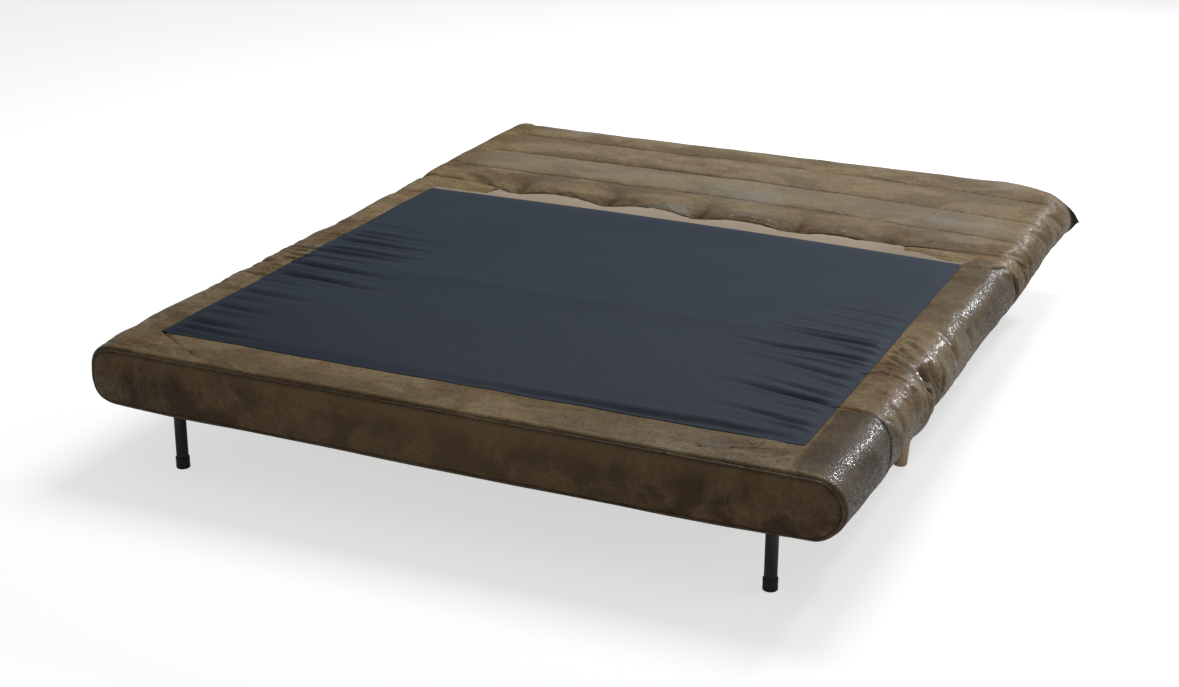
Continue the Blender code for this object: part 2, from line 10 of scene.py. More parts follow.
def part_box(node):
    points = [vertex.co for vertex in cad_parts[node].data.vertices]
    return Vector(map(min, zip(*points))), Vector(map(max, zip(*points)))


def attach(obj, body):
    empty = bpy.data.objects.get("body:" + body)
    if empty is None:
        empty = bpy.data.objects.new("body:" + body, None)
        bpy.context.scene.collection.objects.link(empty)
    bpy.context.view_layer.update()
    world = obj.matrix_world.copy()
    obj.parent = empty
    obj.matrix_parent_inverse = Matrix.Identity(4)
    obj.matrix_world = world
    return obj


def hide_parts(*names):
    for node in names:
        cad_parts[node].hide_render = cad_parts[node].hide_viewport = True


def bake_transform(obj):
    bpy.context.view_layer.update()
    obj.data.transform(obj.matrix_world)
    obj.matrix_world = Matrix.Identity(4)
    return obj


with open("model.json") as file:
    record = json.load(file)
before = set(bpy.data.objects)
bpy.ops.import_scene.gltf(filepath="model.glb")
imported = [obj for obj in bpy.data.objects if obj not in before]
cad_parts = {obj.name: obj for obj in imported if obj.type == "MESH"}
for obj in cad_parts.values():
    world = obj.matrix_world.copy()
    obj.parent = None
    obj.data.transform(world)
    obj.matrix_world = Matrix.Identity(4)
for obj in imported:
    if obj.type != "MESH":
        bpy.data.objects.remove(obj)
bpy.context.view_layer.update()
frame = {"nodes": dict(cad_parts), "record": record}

print("Frame loaded:", len(frame["nodes"]), "CAD nodes")

# Sofa bed opened flat. Metres, front face towards -Y, floor at z = 0.
frontLow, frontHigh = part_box("front_cover")
seatLow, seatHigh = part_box("seat_cover")
backLow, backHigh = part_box("back_cover")
bed = {
    "halfWidth": seatHigh.x,
    "top": seatHigh.z,
    "bottom": seatLow.z,
    "frontFace": frontLow.y,
    "foldLine": (frontHigh.y + seatLow.y) / 2,
    "seatEnd": seatHigh.y,
    "backNear": backLow.y,
    "backFar": backHigh.y,
}
bed["middle"] = (bed["top"] + bed["bottom"]) / 2
bed["round"] = (bed["top"] - bed["bottom"]) / 2  # the long sides are half-round
bed["flat"] = bed["halfWidth"] - bed["round"]
lining = {
    "half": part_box("front_lining")[1].x,
    "front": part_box("front_lining")[0].y,
    "rear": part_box("seat_lining")[1].y + 0.001,
    "left": -0.705,
    "right": 0.681,
    "nearEdge": -0.881,
}


# Helpers for shapes

def smooth(value, start, end):
    # A soft step: 0 before start, 1 after end, cubic in between.
    t = np.clip((value - start) / (end - start), 0, 1)
    return t * t * (3 - 2 * t)


def hill(value, middle, width):
    # A bell: 1 at the middle, falling off over the width.
    return np.exp(-((value - middle) / width) ** 2)


def pleat(t, sharpness=0.8):
    # Round ridges with sharp valleys between: the size of a sine, raised to a power below one.
    return np.abs(np.sin(np.pi * t)) ** sharpness


def softNoise(u, v, seed, cells=97):
    # Random heights on a square lattice, joined by cubic steps, from -1 to 1.
    lattice = np.random.default_rng(seed).uniform(-1, 1, (cells, cells))
    iu = np.floor(u).astype(int)
    iv = np.floor(v).astype(int)

    def corner(du, dv):
        return lattice[(iu + du) % cells, (iv + dv) % cells]

    fu = u - iu
    fv = v - iv
    su = fu * fu * (3 - 2 * fu)
    sv = fv * fv * (3 - 2 * fv)
    near = corner(0, 0) * (1 - su) + corner(1, 0) * su
    far = corner(0, 1) * (1 - su) + corner(1, 1) * su
    return near * (1 - sv) + far * sv


def spacedLine(*stretches):
    # Places along a line. Each stretch is (start, end, step), and the last end closes it.
    parts = [np.linspace(a, b, max(1, round(abs(b - a) / step)), endpoint=False)
             for a, b, step in stretches]
    return np.append(np.concatenate(parts), stretches[-1][1])


def addToScene(name, data):
    thing = bpy.data.objects.new(name, data)
    bpy.context.scene.collection.objects.link(thing)
    return thing


def gridQuads(rows, columns, wrap):
    # The four corners of every face of a grid, and of the faces that close it into a tube.
    index = np.arange(rows * columns).reshape(rows, columns)
    if wrap:
        index = np.hstack([index, index[:, :1]])
    return np.stack([index[:-1, :-1], index[:-1, 1:], index[1:, 1:], index[1:, :-1]], -1)


mergeStep = 2e-5  # points nearer than this are one


def gridPiece(name, points, material, wrap=False, keep=None, flip=False, **shades):
    # points is rows x columns x 3. Faces join neighbours, and look up where columns run
    # along +X and rows along +Y. Points that coincide are merged, which closes the poles.
    # The shades change the material from point to point: tone its colour, and shine its gloss.
    quads = gridQuads(*points.shape[:2], wrap)
    quads = (quads if keep is None else quads[keep]).reshape(-1, 4)
    if flip:
        quads = quads[:, ::-1]
    places = points.reshape(-1, 3)
    first, inverse = np.unique(np.round(places / mergeStep).astype(np.int64), axis=0,
                               return_index=True, return_inverse=True)[1:]
    quads = inverse.reshape(-1)[quads]
    used, renumbered = np.unique(quads, return_inverse=True)
    quads = renumbered.reshape(-1, 4)
    faces = []
    for quad in quads.tolist():
        corners = [c for i, c in enumerate(quad) if c != quad[i - 1]]
        if len(corners) > 2:
            faces.append(corners)
    mesh = bpy.data.meshes.new(name)
    mesh.from_pydata(places[first][used].tolist(), [], faces)
    for label, values in shades.items():
        shade = mesh.attributes.new(label, "FLOAT", "POINT")
        shade.data.foreach_set("value", values.reshape(-1)[first][used].astype(np.float32))
    return finishPiece(name, mesh, material)


def finishPiece(name, mesh, material):
    # Shades the mesh smooth and keeps each point's place at rest, which the patterns read.
    mesh.validate()
    mesh.polygons.foreach_set("use_smooth", np.ones(len(mesh.polygons), bool))
    places = np.zeros(len(mesh.vertices) * 3, np.float32)
    mesh.vertices.foreach_get("co", places)
    mesh.attributes.new("restPlace", "FLOAT_VECTOR", "POINT").data.foreach_set("vector", places)
    mesh.materials.append(material)
    return addToScene(name, mesh)


def thicken(piece, thickness):
    # Gives a sheet its thickness, below the surface that was worked out.
    cloth = piece.modifiers.new("thickness", "SOLIDIFY")
    cloth.thickness = thickness
    cloth.offset = -1


def mattLines(tone):
    # Sewn lines and the bottoms of tucks, where tone is darkest, don't shine.
    return -smooth(-tone, 0.5, 0.8)


def nearestOnLine(u, v, points):
    # How far each place lies from a line of points, and which share of the line lies before it.
    corners = np.array(points, float)
    steps = np.hypot(*np.diff(corners, axis=0).T)
    before = np.concatenate([[0], np.cumsum(steps)])
    nearest = np.full(np.broadcast(u, v).shape, 9.0)
    along = np.zeros(nearest.shape)
    for i, step in enumerate(steps):
        du, dv = (corners[i + 1] - corners[i]) / step
        run = np.clip((u - corners[i, 0]) * du + (v - corners[i, 1]) * dv, 0, step)
        gap = np.hypot(u - corners[i, 0] - run * du, v - corners[i, 1] - run * dv)
        along = np.where(gap < nearest, (before[i] + run) / before[-1], along)
        nearest = np.minimum(gap, nearest)
    return nearest, along


def creases(u, v, lines, narrow=1.0):
    # Folds along given lines: a valley with a low ridge on each side, deepest at a third
    # of its length. Each line is (points, depth, width) in the surface's own two lengths.
    total = np.zeros(np.broadcast(u, v).shape)
    for points, depth, width in lines:
        nearest, along = nearestOnLine(u, v, points)
        taper = smooth(along, -0.05, 0.22) * (1 - smooth(along, 0.30, 1.0))
        t = nearest / (width * narrow)
        total -= depth * taper * (np.exp(-t * t) - 0.38 * np.exp(-((t - 2.0) / 0.9) ** 2))
    return total


cloth = {
    "frames": 20,
    "quality": 4,
    "growth": 0.016,  # spare cloth, as a share of its length
    "tension": 45.0,
    "bending": 0.4,
    "coverPressure": 1.5,
    "backPressure": 0.3,
    "cap": 0.0028,
}


def settle(points, held, pressure):
    # Cloth simulation of a padded cover, whose columns run once round it. Every second row and
    # column is simulated with air pressure inside and a little spare cloth, pinned where held is
    # 1. How far it moves is capped, lessened by held and added to the whole grid. The rows that
    # close the ends are all held, and stay out.
    free = np.flatnonzero((held < 0.9).any(1))
    first = free[0] - 1
    last = free[-1] + 1
    rows = np.append(np.arange(first, last, 2), last)
    columns = np.arange(0, points.shape[1], 2)
    coarse = points[rows][:, columns]
    mesh = bpy.data.meshes.new("settling")
    quads = gridQuads(len(rows), len(columns), True).reshape(-1, 4)
    mesh.from_pydata(coarse.reshape(-1, 3).tolist(), [], quads.tolist())
    copy = addToScene("settling", mesh)
    pins = copy.vertex_groups.new(name="pins")
    pins.add(np.flatnonzero(held[rows][:, columns] > 0.9).tolist(), 1.0, "REPLACE")
    settings = copy.modifiers.new("cloth", "CLOTH").settings
    settings.quality = cloth["quality"]
    settings.use_pressure = True
    settings.uniform_pressure_force = pressure
    settings.tension_stiffness = cloth["tension"]
    settings.compression_stiffness = cloth["tension"]
    settings.shrink_min = -cloth["growth"]
    settings.bending_stiffness = cloth["bending"]
    settings.vertex_group_mass = "pins"
    settings.effector_weights.gravity = 0
    for number in range(1, cloth["frames"] + 1):
        bpy.context.scene.frame_set(number)
    settled = copy.evaluated_get(bpy.context.evaluated_depsgraph_get()).data
    places = np.zeros(coarse.size, np.float32)
    settled.vertices.foreach_get("co", places)
    bpy.data.objects.remove(copy)
    bpy.context.scene.frame_set(1)
    move = places.reshape(coarse.shape) - coarse
    length = np.linalg.norm(move, axis=-1)[..., None] + 1e-9
    print("Cloth moved", round(float(length.mean()) * 1000, 2), "mm on average,",
          round(float(length.max()) * 1000, 1), "mm at most")
    move = move * cloth["cap"] * np.tanh(length / cloth["cap"]) / length
    # back to the whole grid, between the simulated rows and columns by straight lines
    allRows, allColumns = (np.arange(count) for count in points.shape[:2])
    closed = np.append(columns, points.shape[1])
    byRow = np.array([np.interp(allRows, rows, unit, 0, 0) for unit in np.eye(len(rows))])
    byColumn = np.array([np.interp(allColumns, closed, unit) for unit in np.eye(len(closed))])
    move = np.concatenate([move, move[:, :1]], 1)
    move = np.einsum("rn,rck,cm->nmk", byRow, move, byColumn, optimize=True)
    return points + move * (1 - held)[..., None]


# Helpers for materials

def addNode(tree, kind, settings=None, **inputs):
    # One shader node. A setting is a property, an input is a value or another node's socket.
    node = tree.nodes.new(kind)
    for key, value in (settings or {}).items():
        setattr(node, key, value)
    for key, value in inputs.items():
        socket = node.inputs[int(key[1:])] if key[0] == "n" and key[1:].isdigit() else node.inputs[key]
        if isinstance(value, bpy.types.NodeSocket):
            tree.links.new(value, socket)
        else:
            socket.default_value = value
    return node


def maths(tree, operation, a, b=0.0, clamp=False):
    node = addNode(tree, "ShaderNodeMath", {"operation": operation, "use_clamp": clamp}, n0=a, n1=b)
    return node.outputs[0]


def attribute(tree, name, output="Fac"):
    return addNode(tree, "ShaderNodeAttribute", {"attribute_name": name}).outputs[output]


def blendColours(tree, share, a, b, mode="MIX"):
    node = addNode(tree, "ShaderNodeMix", {"data_type": "RGBA", "blend_type": mode}, n0=share, n6=a, n7=b)
    return node.outputs[2]


def spread(tree, value, low, high, newLow=0.0, newHigh=1.0):
    # Maps low..high to newLow..newHigh, held at both ends.
    node = addNode(tree, "ShaderNodeMapRange", {"interpolation_type": "SMOOTHSTEP"},
                   n0=value, n1=low, n2=high, n3=newLow, n4=newHigh)
    return node.outputs[0]


def startGroup(name, inputs, outputs):
    group = bpy.data.node_groups.new(name, "ShaderNodeTree")
    for label, kind, value in inputs:
        socket = group.interface.new_socket(label, in_out="INPUT", socket_type=kind)
        if value is not None:
            socket.default_value = value
    for label, kind in outputs:
        group.interface.new_socket(label, in_out="OUTPUT", socket_type=kind)
    return group, group.nodes.new("NodeGroupInput").outputs, group.nodes.new("NodeGroupOutput").inputs


def patchesGroup():
    # Soft-edged patches of noise, stretched along the axes by Stretch.
    group, given, result = startGroup(
        "patches",
        [("Place", "NodeSocketVector", None), ("Stretch", "NodeSocketVector", (1, 1, 1)),
         ("Scale", "NodeSocketFloat", 6.0), ("From", "NodeSocketFloat", 0.4),
         ("To", "NodeSocketFloat", 0.6)],
        [("Mask", "NodeSocketFloat")])
    place = addNode(group, "ShaderNodeVectorMath", {"operation": "MULTIPLY"},
                    n0=given["Place"], n1=given["Stretch"]).outputs[0]
    noise = addNode(group, "ShaderNodeTexNoise", Vector=place, Scale=given["Scale"],
                    Detail=6.0, Roughness=0.62, Distortion=0.4)
    group.links.new(spread(group, noise.outputs[0], given["From"], given["To"]), result["Mask"])
    return group


def crackleGroup():
    # Fine cracks between worn cells, with finer cells inside them, and the height for a bump.
    group, given, result = startGroup(
        "crackle",
        [("Place", "NodeSocketVector", None), ("Scale", "NodeSocketFloat", 220.0),
         ("Warp", "NodeSocketFloat", 0.004)],
        [("Cracks", "NodeSocketFloat"), ("Height", "NodeSocketFloat")])
    noise = addNode(group, "ShaderNodeTexNoise", Vector=given["Place"], Scale=90.0, Detail=3.0)
    shift = addNode(group, "ShaderNodeVectorMath", {"operation": "SUBTRACT"},
                    n0=noise.outputs[1], n1=(0.5, 0.5, 0.5)).outputs[0]
    scaled = addNode(group, "ShaderNodeVectorMath", {"operation": "SCALE"}, n0=shift)
    group.links.new(given["Warp"], scaled.inputs["Scale"])
    place = addNode(group, "ShaderNodeVectorMath", {"operation": "ADD"},
                    n0=given["Place"], n1=scaled.outputs[0]).outputs[0]
    cells = addNode(group, "ShaderNodeTexVoronoi", {"feature": "DISTANCE_TO_EDGE"},
                    Vector=place, Scale=given["Scale"])
    fine = addNode(group, "ShaderNodeTexVoronoi", {"feature": "F1"},
                   Vector=place, Scale=maths(group, "MULTIPLY", given["Scale"], 2.6))
    edge = spread(group, cells.outputs["Distance"], 0.0, 0.10, 1.0, 0.0)
    dome = spread(group, cells.outputs["Distance"], 0.0, 0.30, 0.0, 1.0)
    height = maths(group, "ADD", dome, maths(group, "MULTIPLY", fine.outputs["Distance"], -0.5))
    group.links.new(edge, result["Cracks"])
    group.links.new(height, result["Height"])
    return group


def weaveGroup():
    # Plain weave: two crossed sine waves, each over the other by turns, and a slub along the thread.
    group, given, result = startGroup(
        "weave",
        [("Place", "NodeSocketVector", None), ("Threads", "NodeSocketFloat", 1400.0)],
        [("Height", "NodeSocketFloat"), ("Slub", "NodeSocketFloat")])
    axes = addNode(group, "ShaderNodeSeparateXYZ", n0=given["Place"])
    across = maths(group, "SINE", maths(group, "MULTIPLY", axes.outputs[0], given["Threads"]))
    along = maths(group, "SINE", maths(group, "MULTIPLY", axes.outputs[1], given["Threads"]))
    height = maths(group, "MULTIPLY", across, along)
    thread = addNode(group, "ShaderNodeVectorMath", {"operation": "MULTIPLY"},
                     n0=given["Place"], n1=(9.0, 420.0, 9.0)).outputs[0]
    slub = addNode(group, "ShaderNodeTexNoise", Vector=thread, Scale=1.0, Detail=2.0)
    group.links.new(height, result["Height"])
    group.links.new(slub.outputs[0], result["Slub"])
    return group


groups = {"patches": patchesGroup(), "crackle": crackleGroup(), "weave": weaveGroup()}


def useGroup(tree, name, **inputs):
    node = tree.nodes.new("ShaderNodeGroup")
    node.node_tree = groups[name]
    for key, value in inputs.items():
        if isinstance(value, bpy.types.NodeSocket):
            tree.links.new(value, node.inputs[key])
        else:
            node.inputs[key].default_value = value
    return node.outputs


def startMaterial(name, onPiece=True):
    # onPiece reads the place at rest kept on a new piece, otherwise a CAD node's own coordinates.
    material = bpy.data.materials.new(name)
    material.use_nodes = True
    tree = material.node_tree
    shader = tree.nodes["Principled BSDF"]
    if onPiece:
        place = attribute(tree, "restPlace", "Vector")
    else:
        place = addNode(tree, "ShaderNodeTexCoord").outputs["Object"]
    return material, tree, shader, place


def raiseSurface(tree, shader, height, distance, strength=1.0):
    bump = addNode(tree, "ShaderNodeBump", Height=height, Distance=distance, Strength=strength)
    tree.links.new(bump.outputs[0], shader.inputs["Normal"])


leatherLook = {
    "base": (0.143, 0.092, 0.039, 1),
    "worn": (0.248, 0.175, 0.086, 1),
    "red": (0.175, 0.088, 0.036, 1),
    "rub": (0.232, 0.226, 0.190, 1),
    "light": (0.262, 0.226, 0.160, 1),
    # the crack colour is the dark of the cracks and flecks, and also the painted shade that a negative tone
    # lays into folds and hollows
    "crackAndShade": (0.022, 0.013, 0.007, 1),
    # the panel's colours: the same leather painted darker, as painted shade for the front face turned away
    # from the light
    "panelShadedBase": (0.067, 0.035, 0.014, 1),
    "panelShadedWorn": (0.205, 0.126, 0.058, 1),
    "panelShadedRed": (0.112, 0.044, 0.018, 1),
    "panelShadedRub": (0.046, 0.042, 0.032, 1),
    "specular": 0.22,
    "bump": 0.00018,
}


def makeLeather(name, colours, stretch, rubShare, roughness):
    # Distressed leather-look cloth: worn and reddish patches, grey rub marks, fine cracks.
    # tone paints shade into folds, tucks and hollows and light onto ridges, and darkens sewn lines.
    # shine is -1 where the cloth is matt, 0 where it has its plain gloss and 1 where the gloss is doubled.
    material, tree, shader, place = startMaterial(name)
    tone = attribute(tree, "tone")
    gloss = attribute(tree, "shine")
    base, worn, red, rub = (leatherLook[c] for c in colours)

    def patches(scale, low, high, drawn=(1, 1, 1)):
        return useGroup(tree, "patches", Place=place, Stretch=drawn, Scale=scale, From=low, To=high)[0]

    wornMask = patches(7.0, 0.42, 0.58, stretch)
    redMask = patches(13.0, 0.52, 0.66)
    rubMask = patches(4.2, 0.55, 0.68, stretch)
    brush = patches(30.0, 0.38, 0.62, stretch)
    fleck = patches(95.0, 0.46, 0.62)
    grain = patches(230.0, 0.47, 0.55)
    cracks, height = useGroup(tree, "crackle", Place=place, Scale=190.0, Warp=0.005)
    colour = blendColours(tree, wornMask, base, worn)
    colour = blendColours(tree, maths(tree, "MULTIPLY", redMask, 0.7), colour, red)
    # the grey patches take a larger share towards the back
    alongBed = addNode(tree, "ShaderNodeSeparateXYZ", n0=place).outputs[1]
    rubHere = spread(tree, alongBed, -0.85, 0.25, rubShare * 0.4, rubShare)
    colour = blendColours(tree, maths(tree, "MULTIPLY", rubMask, rubHere), colour, rub)
    for mask, share, shade in ((brush, 0.28, base), (fleck, 0.30, leatherLook["crackAndShade"]),
                               (cracks, 0.34, leatherLook["crackAndShade"])):
        colour = blendColours(tree, maths(tree, "MULTIPLY", mask, share), colour, shade)
    darker = maths(tree, "MULTIPLY", tone, -1.0, clamp=True)
    lighter = maths(tree, "MULTIPLY", tone, 0.6, clamp=True)
    # painted shade and light: a negative tone blends toward the crack colour in folds, tucks and hollows, a
    # positive one toward a paler colour on lit ridges and worn places
    colour = blendColours(tree, darker, colour, leatherLook["crackAndShade"])
    colour = blendColours(tree, lighter, colour, leatherLook["light"] if name == "topLeather" else worn)
    tree.links.new(colour, shader.inputs["Base Color"])
    # matt grains break up the gloss
    matt = maths(tree, "ADD", maths(tree, "MULTIPLY", fleck, 0.10), maths(tree, "MULTIPLY", grain, 0.42))
    matt = maths(tree, "ADD", matt, maths(tree, "MULTIPLY", gloss, -0.30, clamp=True))
    tree.links.new(maths(tree, "ADD", matt, roughness), shader.inputs["Roughness"])
    level = maths(tree, "MULTIPLY", maths(tree, "ADD", gloss, 1.0), leatherLook["specular"])
    tree.links.new(level, shader.inputs["Specular IOR Level"])
    raised = maths(tree, "ADD", height, maths(tree, "MULTIPLY", grain, -0.9))
    raiseSurface(tree, shader, raised, leatherLook["bump"])
    return material


def makeCloth(name, colour, deep, threads, roughness, sheen, onPiece=True):
    # Plain woven cloth with slubs and slow changes of tone.
    material, tree, shader, place = startMaterial(name, onPiece)
    height, slub = useGroup(tree, "weave", Place=place, Threads=threads)
    tone = useGroup(tree, "patches", Place=place, Scale=5.0, From=0.3, To=0.7)[0]
    mixed = blendColours(tree, maths(tree, "MULTIPLY", tone, 0.35), colour, deep)
    mixed = blendColours(tree, spread(tree, slub, 0.35, 0.75, 0.0, 0.4), mixed, deep)
    # where the piece's own tone falls below 0, the cloth lies in the shade of a fold
    shaded = tuple(0.25 * part for part in deep[:3]) + (1,)
    shade = maths(tree, "MULTIPLY", attribute(tree, "tone"), -1.0, clamp=True)
    mixed = blendColours(tree, shade, mixed, shaded)
    tree.links.new(mixed, shader.inputs["Base Color"])
    shader.inputs["Roughness"].default_value = roughness
    shader.inputs["Specular IOR Level"].default_value = 0.10
    shader.inputs["Sheen Weight"].default_value = sheen
    shader.inputs["Sheen Roughness"].default_value = 0.4
    raiseSurface(tree, shader, maths(tree, "ADD", height, slub), 0.00004, 0.8)
    return material


def makeWood(name, colour, deep, onPiece):
    # Straight grain: rings of noise drawn out along the length, with fine pores.
    material, tree, shader, place = startMaterial(name, onPiece)
    alongLeg = (60.0, 60.0, 4.0) if onPiece else (60.0, 4.0, 60.0)
    drawn = addNode(tree, "ShaderNodeVectorMath", {"operation": "MULTIPLY"}, n0=place, n1=alongLeg)
    drawn = drawn.outputs[0]
    rings = addNode(tree, "ShaderNodeTexNoise", Vector=drawn, Scale=1.6, Detail=5.0, Distortion=0.6)
    rings = rings.outputs[0]
    pores = addNode(tree, "ShaderNodeTexNoise", Vector=drawn, Scale=12.0, Detail=2.0).outputs[0]
    colour = blendColours(tree, spread(tree, rings, 0.35, 0.65), colour, deep)
    colour = blendColours(tree, spread(tree, pores, 0.55, 0.75, 0.0, 0.35), colour, deep)
    tree.links.new(colour, shader.inputs["Base Color"])
    tree.links.new(spread(tree, pores, 0.3, 0.7, 0.38, 0.52), shader.inputs["Roughness"])
    raiseSurface(tree, shader, pores, 0.0002, 0.5)
    return material


def makeMetal(name, colour, deep, roughness, metallic, scale, onPiece):
    # Coated or plated metal: a fine orange-peel bump and slow changes of gloss.
    material, tree, shader, place = startMaterial(name, onPiece)
    peel = addNode(tree, "ShaderNodeTexNoise", Vector=place, Scale=scale, Detail=3.0).outputs[0]
    tone = useGroup(tree, "patches", Place=place, Scale=40.0, From=0.35, To=0.7)[0]
    mixed = blendColours(tree, maths(tree, "MULTIPLY", tone, 0.5), colour, deep)
    tree.links.new(mixed, shader.inputs["Base Color"])
    gloss = spread(tree, tone, 0.0, 1.0, roughness - 0.06, roughness + 0.08)
    tree.links.new(gloss, shader.inputs["Roughness"])
    shader.inputs["Metallic"].default_value = metallic
    raiseSurface(tree, shader, peel, 0.0002, 0.35)
    return material


def makeFoam(name):
    # Open-cell foam: small dark pores in a pale body.
    material, tree, shader, place = startMaterial(name, False)
    cells = addNode(tree, "ShaderNodeTexVoronoi", Vector=place, Scale=700.0).outputs["Distance"]
    pore, body = (0.55, 0.48, 0.32, 1), (0.78, 0.72, 0.55, 1)
    colour = blendColours(tree, spread(tree, cells, 0.1, 0.6), pore, body)
    tree.links.new(colour, shader.inputs["Base Color"])
    shader.inputs["Roughness"].default_value = 0.95
    raiseSurface(tree, shader, cells, 0.0005, 0.6)
    return material


def rgb(red, green, blue):
    return (red, green, blue, 1)


topLeather = makeLeather("topLeather", ("base", "worn", "red", "rub"), (0.7, 1.4, 1.4), 0.60, 0.18)
# painted shade: the front panel uses a darker copy of the same leather for its face turned away from the
# light
panelShadedLeather = makeLeather("panelShadedLeather", ("panelShadedBase", "panelShadedWorn", "panelShadedRed", "panelShadedRub"),
                           (1.3, 1.0, 1.1), 0.6, 0.26)
liningCloth = makeCloth("liningCloth", rgb(0.0275, 0.0365, 0.052), rgb(0.020, 0.028, 0.042),
                        2600.0, 0.62, 0.0)
paleCotton = makeCloth("paleCotton", rgb(0.315, 0.252, 0.185), rgb(0.25, 0.20, 0.145), 2200.0, 0.9, 0.05)
dustCloth = makeCloth("dustCloth", rgb(0.018, 0.018, 0.020), rgb(0.010, 0.010, 0.012), 1800.0, 0.9, 0.05)
threadBrown = makeCloth("threadBrown", rgb(0.10, 0.075, 0.05), rgb(0.06, 0.04, 0.028), 3000.0, 0.6, 0.2)
beechWood = makeWood("beechWood", rgb(0.72, 0.53, 0.32), rgb(0.60, 0.41, 0.23), True)
pineWood = makeWood("pineWood", rgb(0.62, 0.45, 0.26), rgb(0.48, 0.32, 0.17), False)
coat, coatWorn = rgb(0.012, 0.013, 0.014), rgb(0.020, 0.020, 0.021)
blackCoat = makeMetal("blackCoat", coat, coatWorn, 0.34, 0.0, 900.0, True)
blackPlate = makeMetal("blackPlate", coat, coatWorn, 0.40, 0.0, 900.0, False)
zincPlate = makeMetal("zincPlate", rgb(0.55, 0.55, 0.53), rgb(0.45, 0.45, 0.44), 0.36, 1.0, 500.0, False)
blackRubber = makeMetal("blackRubber", rgb(0.012, 0.012, 0.013), rgb(0.022, 0.022, 0.022),
                        0.60, 0.0, 1500.0, True)
openFoam = makeFoam("openFoam")
print("Materials made")


# The cross-section shared by all sections: flat top and underside, half-round sides

def sectionColumns(topPlaces, underPlaces, roundSteps):
    # Runs once round the section: the top from left to right, the right side, the underside,
    # the left side. centre is where the rounding's middle stands, and turn the angle from
    # straight up.
    flat = bed["flat"]
    halfTurn = np.linspace(0, math.pi, roundSteps, endpoint=False)
    centre = np.concatenate([topPlaces[:-1], np.full(roundSteps, flat),
                             underPlaces[:-1], np.full(roundSteps, -flat)])
    turn = np.concatenate([np.zeros(len(topPlaces) - 1), halfTurn,
                           np.full(len(underPlaces) - 1, math.pi), math.pi + halfTurn])
    return centre, turn


def fromTop(turn):
    # The angle from straight up, the same on both sides.
    return np.where(turn > math.pi, 2 * math.pi - turn, turn)


def flatUnder(turn):
    # The faces of the flat underside: both their columns look straight down.
    return ((np.abs(turn - math.pi) < 1e-6) & (np.roll(turn, -1) < math.pi + 1e-6))[None, :]


def faceMiddles(centre, rowY):
    # Where the faces lie: how far from the bed's middle line, and how far along the bed.
    return (np.abs(centre + np.roll(centre, -1)) / 2)[None, :], (rowY[:-1] + rowY[1:])[:, None] / 2


def outward(centre, turn):
    # How far round each column lies from the lining's edge, along the surface, on its own side.
    reach = np.abs(centre) - lining["half"] + bed["round"] * fromTop(turn)
    under = fromTop(turn) > math.pi - 1e-6
    toUnderside = bed["flat"] - lining["half"] + bed["round"] * math.pi
    reach[under] = toUnderside + bed["flat"] - np.abs(centre[under])
    return reach


def sectionPoints(centre, turn, rowY, rowInset, rowTilt, offset):
    # A row is the section drawn in by its inset. The offset moves a point along its normal,
    # which leans along Y by the row's tilt.
    radius = bed["round"] - rowInset[:, None] + offset * np.cos(rowTilt)[:, None]
    x = centre[None, :] + radius * np.sin(turn)[None, :]
    z = bed["middle"] + radius * np.cos(turn)[None, :]
    y = rowY[:, None] + offset * np.sin(rowTilt)[:, None]
    return np.stack([x, y, z], -1)


# Cover of the front and seat sections

cover = {
    "fineStep": 0.0036,
    "plainStep": 0.009,
    "edgeRadius": 0.007,
    "rimInset": 0.0095,
    "rimDepth": 0.006,
    "endRadius": 0.010,
    "roundSteps": 43,
    "sinkUnderLining": 0.0075,
    "gatherRight": (-0.425, 0.120),
    "gatherLeft": (-0.360, 0.130),
    "gatherPitch": 0.0145,
    "gatherHeight": 0.0034,
    "seamDepth": 0.0036,
    "seamWidth": 0.0030,
    "squareLeft": 0.0055,
    "slackRight": 0.0035,
    "sag": 0.0060,
    "borderSwell": 0.0018,
    "sideSlack": 0.0022,
    "dartDepth": 0.0045,
    "dartSwell": 0.0055,
    # tone and gloss: painted shade on the rim, the glossy piece near the front on the right, the flat top
    "rimPaintedShade": 0.38,
    "patchTone": 0.58,
    "patchShine": 0.55,
    "topMatt": 0.55,
}
slotLow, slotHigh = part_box("right_leg_slot")
slotSheet = 0.002
slot = {
    "inner": slotLow.x + slotSheet,
    "outer": slotHigh.x - slotSheet,
    "front": slotLow.y + slotSheet,
    "rear": slotHigh.y - slotSheet,
}
dustLow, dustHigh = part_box("seat_dust_cloth")
# How far the sides swell, at places along the bed: (y, swell)
swellLeft = ((-1.0, 0.0), (-0.93, 0.010), (-0.60, 0.012), (-0.36, 0.005), (-0.15, 0.009), (0.31, 0.008),
             (0.36, 0.008), (0.47, 0.0155), (1.0, 0.016))
swellRight = ((-1.0, 0.0), (-0.90, 0.003), (-0.50, 0.004), (-0.42, -0.001), (-0.2, 0.004), (1.0, 0.003))
